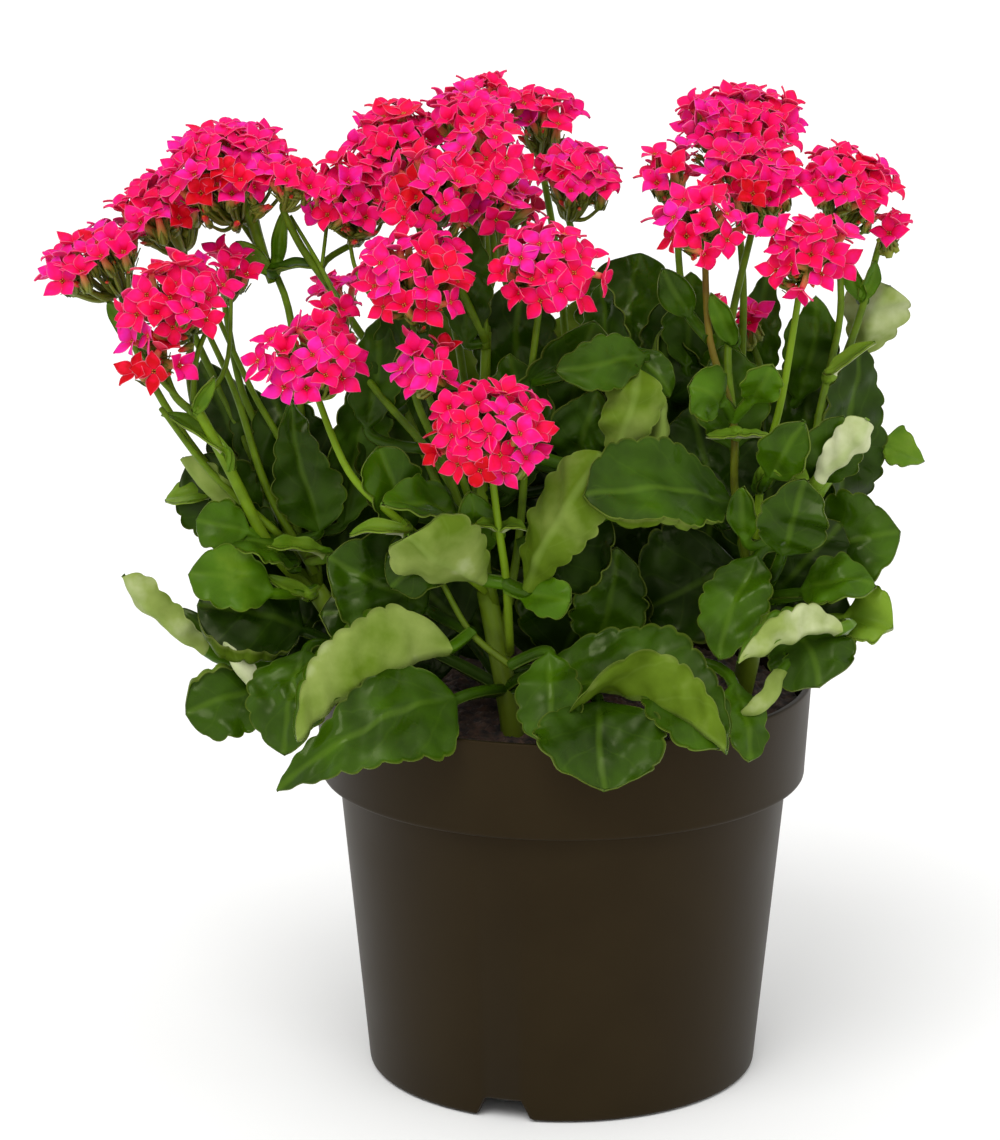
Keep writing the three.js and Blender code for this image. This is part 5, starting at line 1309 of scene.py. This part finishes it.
def leaf(mesh, root, draw, base, tip, face, width, arch, tone, left=PLAIN, right=PLAIN,
         outline="oval"):
    """Adds one leaf: a stalk out of the stem that widens into a thick blade with a notched edge."""
    base, tip = np.array(base, float), np.array(tip, float)
    length = np.linalg.norm(tip - base)
    line = leaf_spine(root, draw, base, tip, face, arch)
    t = line[1]
    halves = [half_blade(*line, draw, width, length, bends, outline, sign)
              for sign, bends in ((-1, left), (1, right))]
    points, normals, place = (np.concatenate([a[:, :0:-1], b], 1) for a, b in zip(*halves))
    u = place[..., 0]
    inner = np.sqrt(np.clip(1 - u ** 2, 0, 1))
    field = place[..., 1] * length, u * place[..., 2]
    ripples = draw.uniform((-PUCKER_TURNS, -PUCKER_TURNS, 0), (PUCKER_TURNS, PUCKER_TURNS, 6.28),
                           (PUCKER_WAVES, 3))
    pucker = sum(np.sin(field[0] * a + field[1] * b + c) for a, b, c in ripples)
    deep = min(1, width / FULL_WAVE_WIDTH) * PUCKER
    points = points + normals * (deep * pucker * smooth_step(t, 0.03, 0.25)[:, None])[..., None]
    thick = LEAF_THICKNESS / 2 * inner + EDGE_THICKNESS / 2 * (1 - inner)
    on_stalk = (1 - smooth_step(t, 0, 0.12))[:, None]
    thick = thick * (1 - on_stalk) + on_stalk * STALK_WIDTH * inner
    across = np.abs(u) * place[..., 2]
    groove = GROOVE_DEPTH * np.exp(-(across / GROOVE_WIDTH) ** 2)
    groove = groove * smooth_step(t, 0.0, 0.1)[:, None] * (1 - t)[:, None] ** 0.5
    ridge = RIDGE_HEIGHT * np.exp(-(across / RIDGE_WIDTH) ** 2) * (1 - t)[:, None]
    upper = points + normals * (thick - groove)[..., None]
    lower = points - normals * (thick + ridge)[..., None]
    rows, columns = u.shape
    n = rows * columns
    faces = grid_faces(rows, columns) + [f[::-1] for f in grid_faces(rows, columns, start=n)]
    looks = [0] * ((rows - 1) * (columns - 1))
    looks += [int(row > STALK_ROWS) for row in range(rows - 1) for _ in range(columns - 1)]
    rim = [i * columns for i in range(rows)] + [(rows - 1) * columns + j for j in range(1, columns)]
    rim += [i * columns + columns - 1 for i in range(rows - 2, -1, -1)]
    rim += [j for j in range(columns - 2, 0, -1)]
    faces += [(b, a, a + n, b + n) for a, b in zip(rim, rim[1:] + rim[:1])]
    looks += [0] * len(rim)
    mesh.add(np.concatenate([upper.reshape(-1, 3), lower.reshape(-1, 3)]), faces, looks,
             np.concatenate([place.reshape(-1, 3)] * 2), tone)


def leaf_skin(name, colours, edge, vein, dull, shiny, specular):
    """Leaf skin: tone along a ramp, cloudy mottling, pale branching veins and a pale edge."""
    made, tree, shader = material(name)
    place = put(tree, "SeparateXYZ", {
        0: put(tree, "Attribute", attribute_name="place").outputs["Vector"]})
    tone = put(tree, "Attribute", attribute_name="tint").outputs["Fac"]
    where = put(tree, "TexCoord").outputs["Object"]
    cloud = put(tree, "TexNoise", {"Vector": where, "Scale": 1 / (LEAF_CLOUD * MM), "Detail": 4})
    shift = put(tree, "MapRange", {"Value": cloud.outputs["Fac"], "From Min": 0.3, "From Max": 0.7,
                                   "To Min": -0.22, "To Max": 0.22})
    mixed = put(tree, "Math", {0: tone, 1: shift.outputs["Result"]}, operation="ADD")
    ramp = put(tree, "ValToRGB", {"Fac": mixed.outputs[0]})
    stops(ramp, [(i / (len(colours) - 1), colour) for i, colour in enumerate(colours)])
    side = put(tree, "Math", {0: place.outputs["X"]}, operation="ABSOLUTE")
    across = put(tree, "Math", {0: side.outputs[0], 1: place.outputs["Z"]}, operation="MULTIPLY")
    rib = put(tree, "MapRange", {"Value": across.outputs[0], "From Min": 0.3, "From Max": 1.2,
                                 "To Min": 0.3, "To Max": 0.0})
    on_blade = put(tree, "MapRange", {"Value": place.outputs["Y"], "From Min": 0.02,
                                      "From Max": 0.2})
    rib = put(tree, "Math", {0: rib.outputs["Result"], 1: on_blade.outputs["Result"]},
              operation="MULTIPLY")
    slant = put(tree, "Math", {0: side.outputs[0], 1: -0.35, 2: place.outputs["Y"]},
                operation="MULTIPLY_ADD")
    rows = put(tree, "Math", {0: slant.outputs[0], 1: SIDE_VEINS}, operation="MULTIPLY")
    saw = put(tree, "Math", {0: rows.outputs[0], 1: 1.0}, operation="PINGPONG")
    lateral = put(tree, "MapRange", {"Value": saw.outputs[0], "From Min": 0.0, "From Max": 0.12,
                                     "To Min": 0.08, "To Max": 0.0})
    lines = put(tree, "Math", {0: rib.outputs[0], 1: lateral.outputs["Result"]},
                operation="MAXIMUM")
    veined = put(tree, "MixRGB", {"Fac": lines.outputs[0], "Color1": ramp.outputs["Color"],
                                  "Color2": srgb(vein)})
    margin = put(tree, "MapRange", {"Value": side.outputs[0], "From Min": 0.955, "From Max": 1.0,
                                    "To Min": 0.0, "To Max": 0.38})
    edged = put(tree, "MixRGB", {"Fac": margin.outputs["Result"], "Color1": veined.outputs["Color"],
                                 "Color2": srgb(edge)})
    quilt = put(tree, "TexNoise", {"Vector": where, "Scale": 1 / (LEAF_QUILT * MM), "Detail": 3})
    rough = put(tree, "Bump", {"Height": quilt.outputs["Fac"], "Strength": 0.3,
                               "Distance": 0.5 * MM})
    patches = put(tree, "TexNoise", {"Vector": where, "Scale": 1 / (GLOSS_PATCH * MM), "Detail": 2})
    gloss = put(tree, "MapRange", {"Value": patches.outputs["Fac"], "From Min": 0.4,
                                   "From Max": 0.6, "To Min": dull, "To Max": shiny})
    feed(shader, {"Base Color": edged.outputs["Color"], "Normal": rough.outputs["Normal"],
                  "Roughness": gloss.outputs["Result"], "Specular IOR Level": specular,
                  "Specular Tint": srgb("#EEF4C4")})
    return made


# Upper side: dark green under a smooth waxy cuticle, which gives broad soft highlights. Its darkest
# green, on the filler leaves deep inside, is painted shade.
upper_skin = leaf_skin("waxy leaf, upper side", ["#182C02", "#2C4802", "#406404", "#6E8C22"],
                       "#7A8832", "#5A7A1C", 0.55, 0.22, 0.2)

# Underside: paler and matt, with the midrib standing proud.
under_skin = leaf_skin("leaf underside", ["#3E5206", "#587018", "#84944A", "#C4CAA0"],
                       "#8E9850", "#82984A", 0.6, 0.45, 0.08)

# Painted shade: the rows at tone 0 make dark filler leaves inside the plant.
for plant, rows in LEAVES.items():
    mesh = Mesh()
    for number, row in enumerate(rows):
        draw = np.random.default_rng(100 * len(plant) + number)
        root = nearest_on_stems(stem_lines[plant], np.array(row[0], float))
        leaf(mesh, root, draw, *row)
    leaves = mesh.make("leaves_" + plant, [upper_skin, under_skin])
